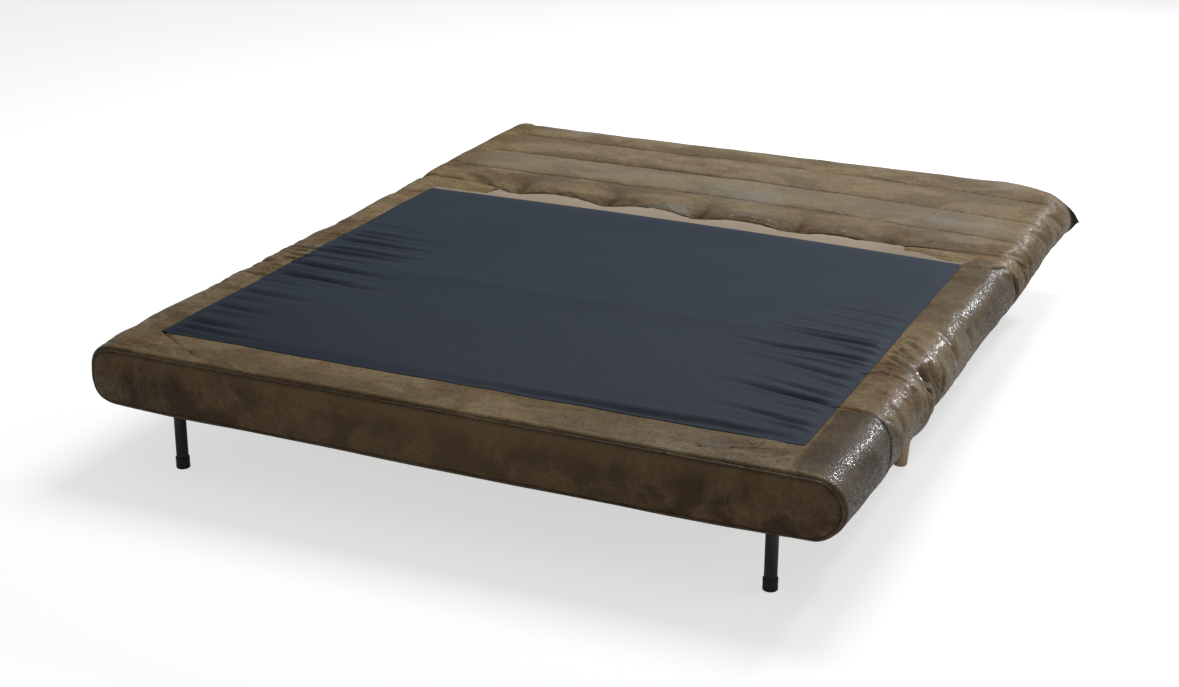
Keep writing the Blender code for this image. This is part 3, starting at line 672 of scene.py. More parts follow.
# Folds beside the hinge line: points as (distance from the lining's edge, y), depth, width
foldsRight = (
    (((-0.004, -0.352), (0.022, -0.371), (0.044, -0.397), (0.075, -0.425)), 0.0068, 0.0062),
    (((0.010, -0.338), (0.036, -0.370), (0.060, -0.397), (0.078, -0.420)), 0.0060, 0.0055),
    (((0.003, -0.395), (0.026, -0.405), (0.054, -0.431), (0.072, -0.446)), 0.0058, 0.0058),
    (((0.011, -0.298), (0.031, -0.311), (0.058, -0.340), (0.076, -0.385)), 0.0045, 0.0065),
    (((0.002, -0.264), (0.030, -0.280), (0.062, -0.312)), 0.0034, 0.0070),
    (((-0.003, -0.428), (0.032, -0.442), (0.064, -0.458)), 0.0046, 0.0055),
    (((0.015, -0.455), (0.040, -0.462), (0.070, -0.474)), 0.0030, 0.0050),
    (((0.033, -0.584), (0.060, -0.590), (0.085, -0.588)), 0.0032, 0.0060),
    (((0.010, -0.560), (0.045, -0.556), (0.080, -0.545)), 0.0024, 0.0070),
    (((0.078, -0.405), (0.104, -0.429), (0.113, -0.449), (0.134, -0.452), (0.170, -0.432),
      (0.215, -0.420)), 0.0150, 0.0100),
    (((0.098, -0.330), (0.122, -0.350), (0.146, -0.372), (0.185, -0.392)), 0.0058, 0.0085),
    (((0.085, -0.370), (0.105, -0.392), (0.125, -0.415), (0.150, -0.424)), 0.0050, 0.0062),
    (((0.088, -0.505), (0.108, -0.532), (0.124, -0.560), (0.150, -0.575)), 0.0052, 0.0080),
    (((0.085, -0.438), (0.111, -0.462), (0.128, -0.484), (0.160, -0.512)), 0.0060, 0.0080),
    (((0.070, -0.620), (0.100, -0.640), (0.140, -0.655)), 0.0030, 0.0090),
    (((0.060, -0.200), (0.100, -0.240), (0.150, -0.250)), 0.0035, 0.0110),
    (((0.070, -0.090), (0.110, -0.120), (0.160, -0.125)), 0.0028, 0.0110),
    (((0.020, 0.215), (0.060, 0.250), (0.100, 0.285)), 0.0030, 0.0080),
)
foldsLeft = (
    (((0.002, -0.428), (0.040, -0.424), (0.085, -0.420)), 0.0042, 0.0060),
    (((0.004, -0.368), (0.035, -0.369), (0.085, -0.372)), 0.0056, 0.0060),
    (((0.004, -0.341), (0.040, -0.339), (0.085, -0.338)), 0.0040, 0.0055),
    (((0.008, -0.287), (0.045, -0.289), (0.110, -0.302)), 0.0060, 0.0065),
    (((0.020, -0.310), (0.060, -0.312), (0.110, -0.318)), 0.0040, 0.0060),
    (((0.012, -0.169), (0.040, -0.172), (0.085, -0.190)), 0.0040, 0.0065),
    (((0.060, -0.395), (0.100, -0.402), (0.160, -0.415)), 0.0070, 0.0120),
    (((0.070, -0.560), (0.110, -0.570), (0.160, -0.580)), 0.0030, 0.0110),
    (((0.050, -0.060), (0.090, -0.070), (0.150, -0.080)), 0.0030, 0.0110),
)
# Sewn cross seams, as points of the same two lengths
seamRight = (((-0.010, -0.684), (0.055, -0.689), (0.076, -0.700), (0.095, -0.707), (0.113, -0.719),
              (0.130, -0.742), (0.200, -0.800)),
             ((-0.010, -0.491), (0.020, -0.486), (0.057, -0.496), (0.080, -0.508)))
seamLeft = (((-0.010, -0.489), (0.040, -0.488), (0.090, -0.494), (0.200, -0.500)),)


def sideSwell(y, right):
    onRight, onLeft = (np.interp(y, *np.transpose(swell)) for swell in (swellRight, swellLeft))
    return np.where(right, onRight, onLeft)


def sectionSwell(centre, turn):
    # The left end is fuller at its corners, the right one slacker below.
    corners = np.sin(2 * np.clip(fromTop(turn), 0, math.pi)) ** 2
    slack = np.where(fromTop(turn) > math.pi / 2, -cover["slackRight"] * corners, 0)
    return np.where(centre < 0, cover["squareLeft"] * corners, slack)


def sagFront(points):
    # The front edge hangs a little below the underside, unevenly along its length.
    x, y, z = points[..., 0], points[..., 1], points[..., 2]
    low = smooth(bed["middle"] - z, 0.0, bed["round"])
    along = 0.55 + 0.45 * hill(x, 0.28, 0.40) + 0.16 * softNoise(x / 0.11, 0 * x, 9)
    near = 1 - smooth(y, -0.985, -0.930)
    ends = 1 - smooth(np.abs(x), 0.62, 0.79)
    points[..., 2] -= cover["sag"] * low * along * near * ends


def sewnLine(u, v, points, depth, width):
    # A sewn seam: a narrow groove of even depth along a line of points.
    t = nearestOnLine(u, v, points)[0] / width
    return depth * (-np.exp(-t * t) + 0.30 * np.exp(-((t - 2.6) / 1.3) ** 2)), np.exp(-(t / 0.75) ** 2)


def gathers(reach, y, home, seed):
    # Fine pleats between the big folds, which fan out from the hinge line's pinch.
    middle, spreadY = home
    pinchReach = 0.085
    wander = 0.012 * softNoise(reach / 0.05, y / 0.06, seed)
    fan = 0.55 + 1.1 * np.abs(reach - pinchReach) / pinchReach
    phase = (y - middle + wander) / (cover["gatherPitch"] * fan)
    window = hill(y, middle, spreadY) * smooth(reach, -0.012, 0.010) * (1 - smooth(reach, 0.17, 0.235))
    strength = 0.55 + 0.45 * softNoise(y / 0.03, reach / 0.09 + 7, seed + 1)
    return cover["gatherHeight"] * window * (pleat(phase) - 0.62) * strength


def coverOffset(centre, turn, y):
    # How far the cover stands out from the plain section at every point, and its tone, which darkens
    # the seams and holds painted shade and light on the folds.
    reach = outward(centre, turn)[None, :] + 0 * y[:, None]
    y = y[:, None] + 0 * reach
    across = centre[None, :] + 0 * y
    side = np.where(across >= 0, 1.0, -1.0)
    right = across > 0
    angle = fromTop(turn)[None, :] + 0 * y
    onSide = smooth(reach, 0.0, 0.10) * (1 - smooth(reach, 0.20, 0.26))
    offset = 0.0010 * softNoise(y / 0.11, reach / 0.09 + 11 * side, 3)
    offset += 0.0005 * softNoise(y / 0.035, reach / 0.04 + 17 * side, 4)

    # sides stand out, most at the left front, and pull in at the fold
    offset += sideSwell(y, right) * np.abs(np.sin(angle)) ** 0.7 + sectionSwell(centre, turn)[None, :]
    slack = smooth(y, bed["frontFace"], bed["frontFace"] + 0.10)
    offset += cover["sideSlack"] * slack * onSide * softNoise(y / 0.10, reach / 0.12 + 3 * side, 5)

    # the border sinks below the lining and the strip, and swells a little beside them
    inward = np.minimum.reduce([across - lining["left"], lining["right"] - across, y - lining["nearEdge"]])
    offset -= np.where(angle < 0.01, cover["sinkUnderLining"] * smooth(inward, 0.0, 0.008), 0)
    offset += cover["borderSwell"] * hill(reach, 0.022, 0.018) * (angle < 0.5)

    # gathers and folds round the hinge line
    onRight = gathers(reach, y, cover["gatherRight"], 20)
    folds = np.where(right, onRight, gathers(reach, y, cover["gatherLeft"], 30))
    folds += np.where(right, creases(reach, y, foldsRight), creases(reach, y, foldsLeft))
    folds += 0.0014 * hill(y, -0.36, 0.22) * onSide * softNoise(y / 0.022, reach / 0.16 + 5 * side, 6)
    # the pinch itself, and a bulge on either side of it, all stronger on the right
    folds -= np.where(right, 0.0060, 0.003) * hill(y, -0.430, 0.030) * hill(reach, 0.100, 0.050)
    lowSide = smooth(reach, 0.11, 0.15) * (1 - smooth(reach, 0.22, 0.26))
    folds += np.where(right, 0.0060, 0.002) * hill(y, -0.485, 0.026) * lowSide
    folds += np.where(right, 0.0050, 0.001) * hill(y, -0.345, 0.030) * hill(reach, 0.115, 0.030)
    offset += folds * (0.25 + 0.75 * smooth(reach, -0.002, 0.020))
    # painted shade in the folds' valleys and painted light on their ridges
    tone = np.clip(folds / 0.006, -1, 0.8) * 0.45

    # sewn cross seams
    for here, seams in ((right, seamRight), (~right, seamLeft)):
        for seam in seams:
            groove, line = sewnLine(reach, y, seam, cover["seamDepth"], cover["seamWidth"])
            offset += np.where(here, groove, 0)
            tone -= np.where(here, 0.90 * line, 0)

    # painted shade: the lower side darkens towards the front
    tone -= 0.12 * smooth(reach, 0.09, 0.16) * (1 - smooth(y, -0.60, 0.20))
    return offset, tone


def cornerDarts(points, tone):
    # Two tucks at the front corners: a sewn line from the lining's corner to the front edge,
    # with the border swollen on its rear side.
    x = points[..., 0]
    y = points[..., 1]
    onTop = (points[..., 2] > bed["top"] - 0.02)
    lift = np.zeros_like(x)
    dark = np.zeros_like(x)
    for start, end in (((-0.706, -0.880), (-0.560, -0.974)), ((0.678, -0.900), (0.500, -0.962))):
        way = np.array(end) - np.array(start)
        length = math.hypot(*way)
        way = way / length
        along = (x - start[0]) * way[0] + (y - start[1]) * way[1]
        off = (x - start[0]) * way[1] - (y - start[1]) * way[0]
        off = off * (1 if start[0] < 0 else -1)
        inLength = smooth(along, -0.012, 0.012) * (1 - smooth(along, length - 0.03, length + 0.02))
        lift -= cover["dartDepth"] * inLength * np.exp(-(off / 0.0040) ** 2)
        lift += cover["dartSwell"] * inLength * np.where(off > 0, np.exp(-(off / 0.022)), 0)
        dark += 0.95 * inLength * np.exp(-(off / 0.0038) ** 2)
    # puckers along the front edge beside the right tuck, with painted shade in their valleys and painted
    # light on their ridges
    puckers = creases(x, y, (
        (((0.664, -0.893), (0.600, -0.915), (0.500, -0.930), (0.400, -0.935)), 0.0036, 0.0110),
        (((0.668, -0.908), (0.610, -0.936), (0.540, -0.952), (0.450, -0.962)), 0.0044, 0.0110),
        (((0.672, -0.925), (0.630, -0.955), (0.580, -0.972)), 0.0034, 0.0100)))
    lift += puckers
    dark -= 0.5 * np.clip(puckers / 0.004, -1, 0.8)
    points[..., 2] += np.where(onTop, lift, 0)
    tone -= np.where(onTop, dark, 0)


def coverRows():
    # The rows from the front to the back: where each lies, how far it is drawn in, and how much
    # of the swellings it shows.
    front = bed["frontFace"]
    edge = cover["edgeRadius"]
    end = cover["endRadius"]
    step, plainStep = cover["fineStep"], cover["plainStep"]
    # front rim: turned in behind the seam, then a quarter round out to the sides
    rim = np.linspace(math.pi / 2, 0, 6, endpoint=False)
    rimY = np.concatenate([[front + cover["rimDepth"], front + 0.002], front + edge * (1 - np.sin(rim))])
    rimInset = np.concatenate([[cover["rimInset"], cover["rimInset"] - 0.0008], edge * (1 - np.cos(rim))])
    bodyY = spacedLine((front + edge, slot["front"], 0.004), (slot["front"], slot["rear"], 0.004),
                       (slot["rear"], -0.87, 0.004), (-0.87, -0.78, plainStep),
                       (-0.78, dustLow.y, step), (dustLow.y, -0.15, step),
                       (-0.15, dustHigh.y, plainStep), (dustHigh.y, bed["seatEnd"] - end, 0.006))
    # tail: a quarter round, then in to the middle
    tail = np.linspace(0, math.pi / 2, 6)[1:]
    tailInset = np.concatenate([end * (1 - np.cos(tail)), [0.02, 0.035, 0.05, bed["round"]]])
    tailY = np.concatenate([bed["seatEnd"] - end + end * np.sin(tail), np.full(4, bed["seatEnd"])])
    rowY = np.concatenate([rimY, bodyY, tailY])
    rowInset = np.concatenate([rimInset, np.zeros(len(bodyY)), tailInset])
    shown = np.concatenate([np.linspace(0, 1, len(rimY)), np.ones(len(bodyY)),
                            np.linspace(1, 0, len(tailY))])
    return rowY, rowInset, shown


def shadeCover(centre, alongY, reach, nearPatch, tone):
    # Darkens and lightens tone in place, with painted shade on the front rim, and returns the gloss.
    front = bed["frontFace"]
    # painted shade on the rim turned in behind the front seam and on the band just behind it
    tone[:3] -= 0.7
    tone -= cover["rimPaintedShade"] * (1 - smooth(alongY, front + 0.006, front + 0.013))
    shine = mattLines(tone)
    toBack = smooth(alongY, -0.30, 0.10)
    onRounding = smooth(reach, 0.045, 0.075)
    tone -= cover["patchTone"] * nearPatch
    # the left border is darker towards the front, the right one towards the back, and the front
    # border a little lighter
    tone -= 0.20 * smooth(-centre, 0.66, 0.70) * (1 - smooth(alongY, -0.80, -0.20))
    tone -= 0.48 * (centre > 0) * toBack
    tone += 0.14 * (np.abs(centre) < 0.70) * (1 - smooth(alongY, -0.90, -0.85))
    # the flat top is nearly matt, and the rounding's gloss fades towards the back
    shine -= cover["topMatt"] * (1 - onRounding) * (1 + shine)
    shine += (cover["patchShine"] * nearPatch - 0.30 * toBack) * onRounding * (1 + shine)
    return shine


def makeCover():
    # Columns run round the section, finest over the borders.
    flat = bed["flat"]
    fine = 0.0046
    topPlaces = spacedLine((-flat, -0.50, fine), (-0.50, -0.40, 0.008), (-0.40, 0.40, 0.016),
                           (0.40, 0.50, 0.008), (0.50, flat, fine))
    half = spacedLine((flat, slot["outer"], 0.010), (slot["outer"], -dustLow.x, 0.010),
                      (-dustLow.x, slot["inner"], 0.030), (slot["inner"], 0, 0.05))
    underPlaces = np.concatenate([half[:-1], -half[::-1]])
    centre, turn = sectionColumns(topPlaces, underPlaces, cover["roundSteps"])
    rowY, rowInset, shown = coverRows()
    offset, tone = coverOffset(centre, turn, rowY)
    plain = sectionSwell(centre, turn)[None, :]
    offset = (plain + (offset - plain) * shown[:, None]) * (1 - rowInset / bed["round"])[:, None]
    points = sectionPoints(centre, turn, rowY, rowInset, np.zeros(len(rowY)), offset)
    cornerDarts(points, tone)
    sagFront(points)
    # the piece of cover between the near seam and the front edge on the right is darker and
    # glossier
    reach = outward(centre, turn)[None, :]
    alongY = rowY[:, None]
    angle = fromTop(turn)[None, :]
    nearPatch = (centre > 0)[None, :] * (1 - smooth(alongY, -0.700, -0.686)) * smooth(reach, 0.0, 0.006)
    nearPatch = nearPatch * smooth(alongY, -0.995, -0.980) * (1 - smooth(angle, 2.3, 2.8))
    shine = shadeCover(centre, alongY, reach, nearPatch, tone)
    # pinned: under the lining and beside its hem, the underside, both ends and the sewn seams,
    # and almost so the glossy piece on the right
    beside = np.where(angle > 0.01, 1, np.clip(reach / 0.030, 0, 1))
    frontBorder = (np.abs(centre)[None, :] < 0.68) & (alongY < -0.915)
    beside = np.where(frontBorder, smooth(-alongY, 0.900, 0.930), beside)
    free = beside * (angle < math.pi - 0.05) * smooth(shown, 0.98, 1.0)[:, None]
    free = free * (1 - 0.85 * nearPatch)
    held = 1 - free * (1 + mattLines(tone)) * smooth(alongY, -0.990, -0.975)
    points = settle(points, held, cloth["coverPressure"])
    # open where the leg slots and the dust cloth are
    middleX, middleY = faceMiddles(centre, rowY)
    inSlot = (middleX > slot["inner"]) & (middleX < slot["outer"])
    inSlot = inSlot & (middleY > slot["front"]) & (middleY < slot["rear"])
    inDust = (middleX < dustHigh.x) & (middleY > dustLow.y) & (middleY < dustHigh.y)
    keep = ~(flatUnder(turn) & (inSlot | inDust))
    piece = gridPiece("seatAndFrontCover", points, topLeather, wrap=True, keep=keep, tone=tone, shine=shine)
    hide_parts("front_cover", "seat_cover", "front_left_roll", "front_right_roll",
                "front_nose_foam", "front_top_foam", "front_seat_foam", "seat_left_roll",
                "seat_right_roll", "seat_foam")
    return piece


seatCover = makeCover()
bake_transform(seatCover)
print("Front and seat cover:", len(seatCover.data.polygons), "faces")


# Boxed front panel with its welt and stitches

panel = {
    "inset": 0.0078,
    "puff": 0.0130,
    "ripple": 0.0010,
    "weltRadius": 0.0025,
    "weltInset": 0.0072,
    "weltProud": 0.0010,
    "stitchPitch": 0.0062,
    "stitchLength": 0.0042,
    "stitchRadius": 0.00045,
    "stitchInset": 0.0118,
}


def panelBulge(x, inset):
    # The panel's foam swells it gently, with slow dents along its length.
    rise = np.clip((inset - panel["inset"]) / 0.050, 0, 1)
    rise = np.sqrt(np.clip(1 - (1 - rise) ** 2, 0, 1))
    dents = softNoise(x / 0.10, inset / 0.05, 40) + 0.5 * softNoise(x / 0.04, inset / 0.03, 41)
    return panel["puff"] * rise + panel["ripple"] * rise * dents


def frontRing(inset, centre, turn):
    # The panel's outline, drawn in by the inset.
    radius = (bed["round"] - inset) + sectionSwell(centre, turn) * (1 - inset / bed["round"])
    return centre + radius * np.sin(turn), bed["middle"] + radius * np.cos(turn)


def makePanel():
    flat = bed["flat"]
    places = spacedLine((-flat, flat, 0.007))
    centre, turn = sectionColumns(places, -places, 30)
    # rings from the middle line out to the seam, and one turned in behind it
    rings = [[bed["round"]], np.linspace(0.058, 0.014, 14), [0.011, 0.009], [panel["inset"]] * 2]
    inset = np.concatenate(rings)[:, None] + 0 * centre
    x, z = frontRing(inset, centre, turn)
    y = bed["frontFace"] - panelBulge(x, inset) + 0.0012 * hill(inset, panel["inset"], 0.0025)
    y[-1] = bed["frontFace"] + 0.006
    points = np.stack([x, y, z], -1)
    sagFront(points)
    # painted light along the upper edge, where the rounding turns up to the light; lighter in the middle,
    # and dark in the seam
    tone = 0.75 * smooth(points[..., 2], bed["middle"] + 0.005, bed["top"] - 0.010)
    tone += 0.70 * hill(points[..., 0], 0.02, 0.45)
    tone -= 1.30 * hill(inset, panel["inset"], 0.0016)
    piece = gridPiece("frontPanel", points, panelShadedLeather, wrap=True, tone=tone)
    return piece


def tubeAlong(name, path, radius, steps, material, tone, shine):
    # A closed tube: a small circle carried round a closed path that lies in the front plane.
    ahead = np.roll(path, -1, 0) - np.roll(path, 1, 0)
    ahead = ahead / np.linalg.norm(ahead, axis=1)[:, None]
    outwards = np.array([0.0, -1.0, 0.0])
    side = np.cross(ahead, outwards)
    angle = np.linspace(0, 2 * math.pi, steps, endpoint=False)
    ring = (path[:, None, :] + radius * np.cos(angle)[None, :, None] * side[:, None, :]
            + radius * np.sin(angle)[None, :, None] * outwards)
    closed = np.concatenate([ring, ring[:1]], 0)
    shades = {"tone": np.full(closed.shape[:2], tone), "shine": np.full(closed.shape[:2], shine)}
    return gridPiece(name, closed, material, wrap=True, **shades)


def makeWelt():
    flat = bed["flat"]
    places = spacedLine((-flat, flat, 0.004))
    centre, turn = sectionColumns(places, -places, 60)
    wander = 0.0004 * softNoise(centre / 0.02 + turn * 3, centre * 0, 44)
    x, z = frontRing(panel["weltInset"] + wander, centre, turn)
    y = bed["frontFace"] - panel["weltProud"] + 0.0003 * softNoise(centre / 0.015, turn, 45)
    path = np.stack([x, y, z], -1)
    sagFront(path)
    piece = tubeAlong("frontWelt", path, panel["weltRadius"], 8, topLeather, tone=-0.50, shine=0.6)
    return piece


def makeStitches():
    # Short threads, evenly spaced round the panel just inside its welt, dipping in at both ends.
    flat = bed["flat"]
    inset = panel["stitchInset"]
    radius = bed["round"] - inset
    total = 4 * flat + 2 * math.pi * radius
    count = int(total / panel["stitchPitch"])
    t = (np.arange(count)[:, None] + np.linspace(-0.5, 0.5, 5)[None, :]
         * panel["stitchLength"] / panel["stitchPitch"]) * total / count
    t = np.mod(t, total)
    # along the top, round the right end, along the underside and round the left end
    arc = math.pi * radius
    stretches = [t < 2 * flat, t < 2 * flat + arc, t < 4 * flat + arc]
    rightTurn = (t - 2 * flat) / radius
    leftTurn = (t - 4 * flat - arc) / radius
    x = np.select(stretches, [t - flat, flat + radius * np.sin(rightTurn), flat - (t - 2 * flat - arc)],
                  -flat - radius * np.sin(leftTurn))
    z = np.select(stretches, [radius + 0 * t, radius * np.cos(rightTurn), -radius + 0 * t],
                  -radius * np.cos(leftTurn))
    dip = np.array([0.0006, -0.0002, -0.0005, -0.0002, 0.0006])[None, :]
    y = bed["frontFace"] - panelBulge(x, np.full_like(x, inset)) + dip
    path = np.stack([x, y, bed["middle"] + z], -1)
    # the left end is fuller at its corners
    beyond = np.abs(x) - flat
    swell = np.where(x < 0, cover["squareLeft"], 0) * (beyond > 0)
    swell = swell * np.clip(2 * np.abs(beyond * z) / radius ** 2, 0, 1) ** 2
    path[..., 0] += np.sign(x) * swell * np.clip(beyond / radius, 0, 1)
    path[..., 2] += np.sign(z) * swell * np.abs(z) / radius
    sagFront(path)
    ahead = np.gradient(path, axis=1)
    ahead = ahead / np.linalg.norm(ahead, axis=2)[..., None]
    outwards = np.array([0.0, -1.0, 0.0])
    side = np.cross(ahead, outwards)
    angle = np.linspace(0, 2 * math.pi, 6, endpoint=False)
    thickness = panel["stitchRadius"] * np.array([0.0, 0.9, 1.0, 0.9, 0.0])[None, :, None, None]
    rings = (path[:, :, None, :] + thickness * (np.cos(angle)[None, None, :, None] * side[:, :, None, :]
             + np.sin(angle)[None, None, :, None] * outwards))
    index = np.arange(rings[..., 0].size).reshape(rings.shape[:3])
    index = np.concatenate([index, index[:, :, :1]], 2)
    quads = np.stack([index[:, :-1, :-1], index[:, 1:, :-1], index[:, 1:, 1:], index[:, :-1, 1:]], -1)
    mesh = bpy.data.meshes.new("frontStitches")
    mesh.from_pydata(rings.reshape(-1, 3).tolist(), [], quads.reshape(-1, 4).tolist())
    piece = closePoles("frontStitches", mesh, threadBrown)
    return piece


def closePoles(name, mesh, material):
    # Merges the points that coincide at the threads' ends and turns the faces outwards.
    bm = bmesh.new()
    bm.from_mesh(mesh)
    bmesh.ops.remove_doubles(bm, verts=bm.verts, dist=1e-6)
    bmesh.ops.recalc_face_normals(bm, faces=bm.faces)
    bm.to_mesh(mesh)
    bm.free()
    return finishPiece(name, mesh, material)


for piece in (makePanel(), makeWelt(), makeStitches()):
    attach(piece, "front")
print("Front panel, welt and stitches made")


# Dark lining over the front and seat sections: one sheet, gathered at both ends by the side borders

sheetLook = {
    "rise": 0.0036,
    "creaseShare": 0.80,
    "foldRise": 0.0036,
    "rearLean": -0.026,
    "rearCurve": -0.040,
    "ripple": 0.00055,
    "wander": 0.0006,
    "hemLift": 0.0006,
    "thickness": 0.0007,
    "spareWidth": 0.022,
    "spareLength": 0.025,
    "rearReach": 0.018,
}
# Wrinkles as (distance inwards from the sheet's end, y), depth, width
wrinklesLeft = (
    (((-0.02, -0.060), (0.12, -0.075), (0.26, -0.090)), 0.0016, 0.0080),
    (((-0.02, -0.125), (0.10, -0.128), (0.30, -0.140)), 0.0028, 0.0090),
    (((-0.02, -0.150), (0.10, -0.158), (0.22, -0.165)), 0.0030, 0.0080),
    (((-0.02, -0.198), (0.10, -0.196), (0.32, -0.205)), 0.0060, 0.0105),
    (((-0.02, -0.262), (0.12, -0.258), (0.34, -0.262)), 0.0064, 0.0105),
    (((-0.01, -0.292), (0.14, -0.290), (0.30, -0.300)), 0.0060, 0.0095),
    (((-0.02, -0.335), (0.12, -0.338), (0.25, -0.345)), 0.0036, 0.0085),
    (((-0.02, -0.388), (0.12, -0.398), (0.34, -0.412)), 0.0062, 0.0110),
    (((-0.02, -0.430), (0.10, -0.440), (0.20, -0.450)), 0.0026, 0.0080),
    (((-0.02, -0.464), (0.12, -0.470), (0.36, -0.490)), 0.0070, 0.0130),
    (((-0.02, -0.520), (0.10, -0.528), (0.20, -0.535)), 0.0022, 0.0100),
    (((-0.02, -0.598), (0.10, -0.604), (0.24, -0.615)), 0.0044, 0.0150),
    (((-0.02, -0.648), (0.08, -0.652), (0.16, -0.655)), 0.0022, 0.0090),
    (((-0.02, -0.700), (0.08, -0.708), (0.20, -0.716)), 0.0042, 0.0125),
    (((-0.02, -0.745), (0.08, -0.750), (0.15, -0.752)), 0.0022, 0.0100),
    (((-0.02, -0.800), (0.10, -0.806), (0.22, -0.812)), 0.0046, 0.0150),
    (((-0.02, -0.838), (0.10, -0.846), (0.30, -0.852)), 0.0034, 0.0100),
)
wrinklesRight = (
    (((-0.02, -0.190), (0.10, -0.170), (0.28, -0.150)), 0.0020, 0.0085),
    (((-0.02, -0.240), (0.10, -0.222), (0.34, -0.200)), 0.0024, 0.0085),
    (((-0.02, -0.300), (0.10, -0.282), (0.36, -0.250)), 0.0026, 0.0085),
    (((-0.02, -0.345), (0.06, -0.338), (0.22, -0.325), (0.42, -0.300)), 0.0042, 0.0085),
    (((-0.02, -0.368), (0.06, -0.362), (0.18, -0.352), (0.30, -0.345)), 0.0052, 0.0080),
    (((-0.02, -0.398), (0.05, -0.390), (0.14, -0.380)), 0.0040, 0.0060),
    (((-0.02, -0.440), (0.08, -0.432), (0.22, -0.430), (0.38, -0.415)), 0.0074, 0.0095),
    (((-0.02, -0.470), (0.06, -0.462), (0.15, -0.455)), 0.0034, 0.0060),
    (((-0.02, -0.495), (0.06, -0.488), (0.18, -0.478), (0.34, -0.470)), 0.0034, 0.0070),
    (((-0.02, -0.552), (0.06, -0.540), (0.18, -0.510), (0.30, -0.500)), 0.0056, 0.0120),
    (((-0.02, -0.592), (0.06, -0.580), (0.14, -0.565)), 0.0030, 0.0070),
    (((-0.02, -0.655), (0.06, -0.640), (0.18, -0.612), (0.26, -0.600)), 0.0044, 0.0095),
    (((-0.02, -0.692), (0.06, -0.680), (0.18, -0.656), (0.32, -0.635)), 0.0076, 0.0105),
    (((-0.02, -0.740), (0.06, -0.728), (0.16, -0.715)), 0.0030, 0.0080),
    (((-0.02, -0.798), (0.06, -0.790), (0.18, -0.770), (0.28, -0.765)), 0.0052, 0.0110),
    (((-0.02, -0.828), (0.05, -0.820), (0.14, -0.810)), 0.0030, 0.0065),
    (((-0.02, -0.862), (0.12, -0.858), (0.40, -0.862), (0.85, -0.868)), 0.0048, 0.0110),
)


def rearEdge(x):
    # The sheet's rear edge, which comes nearer to the right.
    rear = lining["rear"] + sheetLook["rearReach"]
    return rear + sheetLook["rearLean"] * x + sheetLook["rearCurve"] * x * x


def liningFolds(x, y, leftEdge, rightEdge):
    # Creases run in from both ends, finer pleats lie between them at the very edge,
    # and faint ripples cross the middle behind the fold.
    height = np.zeros_like(x)
    fromLeft = x - leftEdge
    fromRight = rightEdge - x
    wavy = 0.004 * softNoise(x / 0.07, y / 0.03, 95)

    def wrinkled(inward, longest, wrinkles):
        atEnd = 0.35 + 0.65 * smooth(inward, 0.0, 0.035)
        return creases(np.minimum(inward, longest), y + wavy, wrinkles, 0.8) * atEnd

    left = wrinkled(fromLeft, 0.6, wrinklesLeft)
    right = wrinkled(fromRight, 0.95, wrinklesRight)
    height += sheetLook["creaseShare"] * (np.where(x < 0, left, 0) + np.where(x > -0.3, right, 0))
    for inward, middle, spreadY, lean, seed in ((fromLeft, -0.32, 0.30, -0.05, 50),
                                                (fromRight, -0.50, 0.30, 0.12, 60)):
        wander = 0.006 * softNoise(y / 0.05, inward / 0.10, seed)
        phase = (y - lean * inward + wander) / 0.0155
        window = hill(y, middle, spreadY) * np.exp(-(np.clip(inward, 0, None) / 0.055) ** 1.3)
        uneven = 0.6 + 0.4 * softNoise(y / 0.04, 0 * y, seed + 2)
        height += 0.0016 * window * (pleat(phase) - 0.5) * uneven
    across = softNoise((y - 0.05 * x) / 0.015, x / 0.25, 90)
    across = across + 0.6 * softNoise((y - 0.06 * x) / 0.009, x / 0.18, 91)
    band = hill(y, -0.31, 0.11) + 0.22 * hill(y, -0.05, 0.25)
    height += sheetLook["ripple"] * across * band
    height += 0.0007 * softNoise(x / 0.2, y / 0.16, 92)
    return height


def coverAlong(x, y):
    # How far the cover stands out along a line on its flat top. One of x and y is a single place.
    return coverOffset(np.atleast_1d(x), np.zeros(np.size(x)), np.atleast_1d(y))[0].ravel()


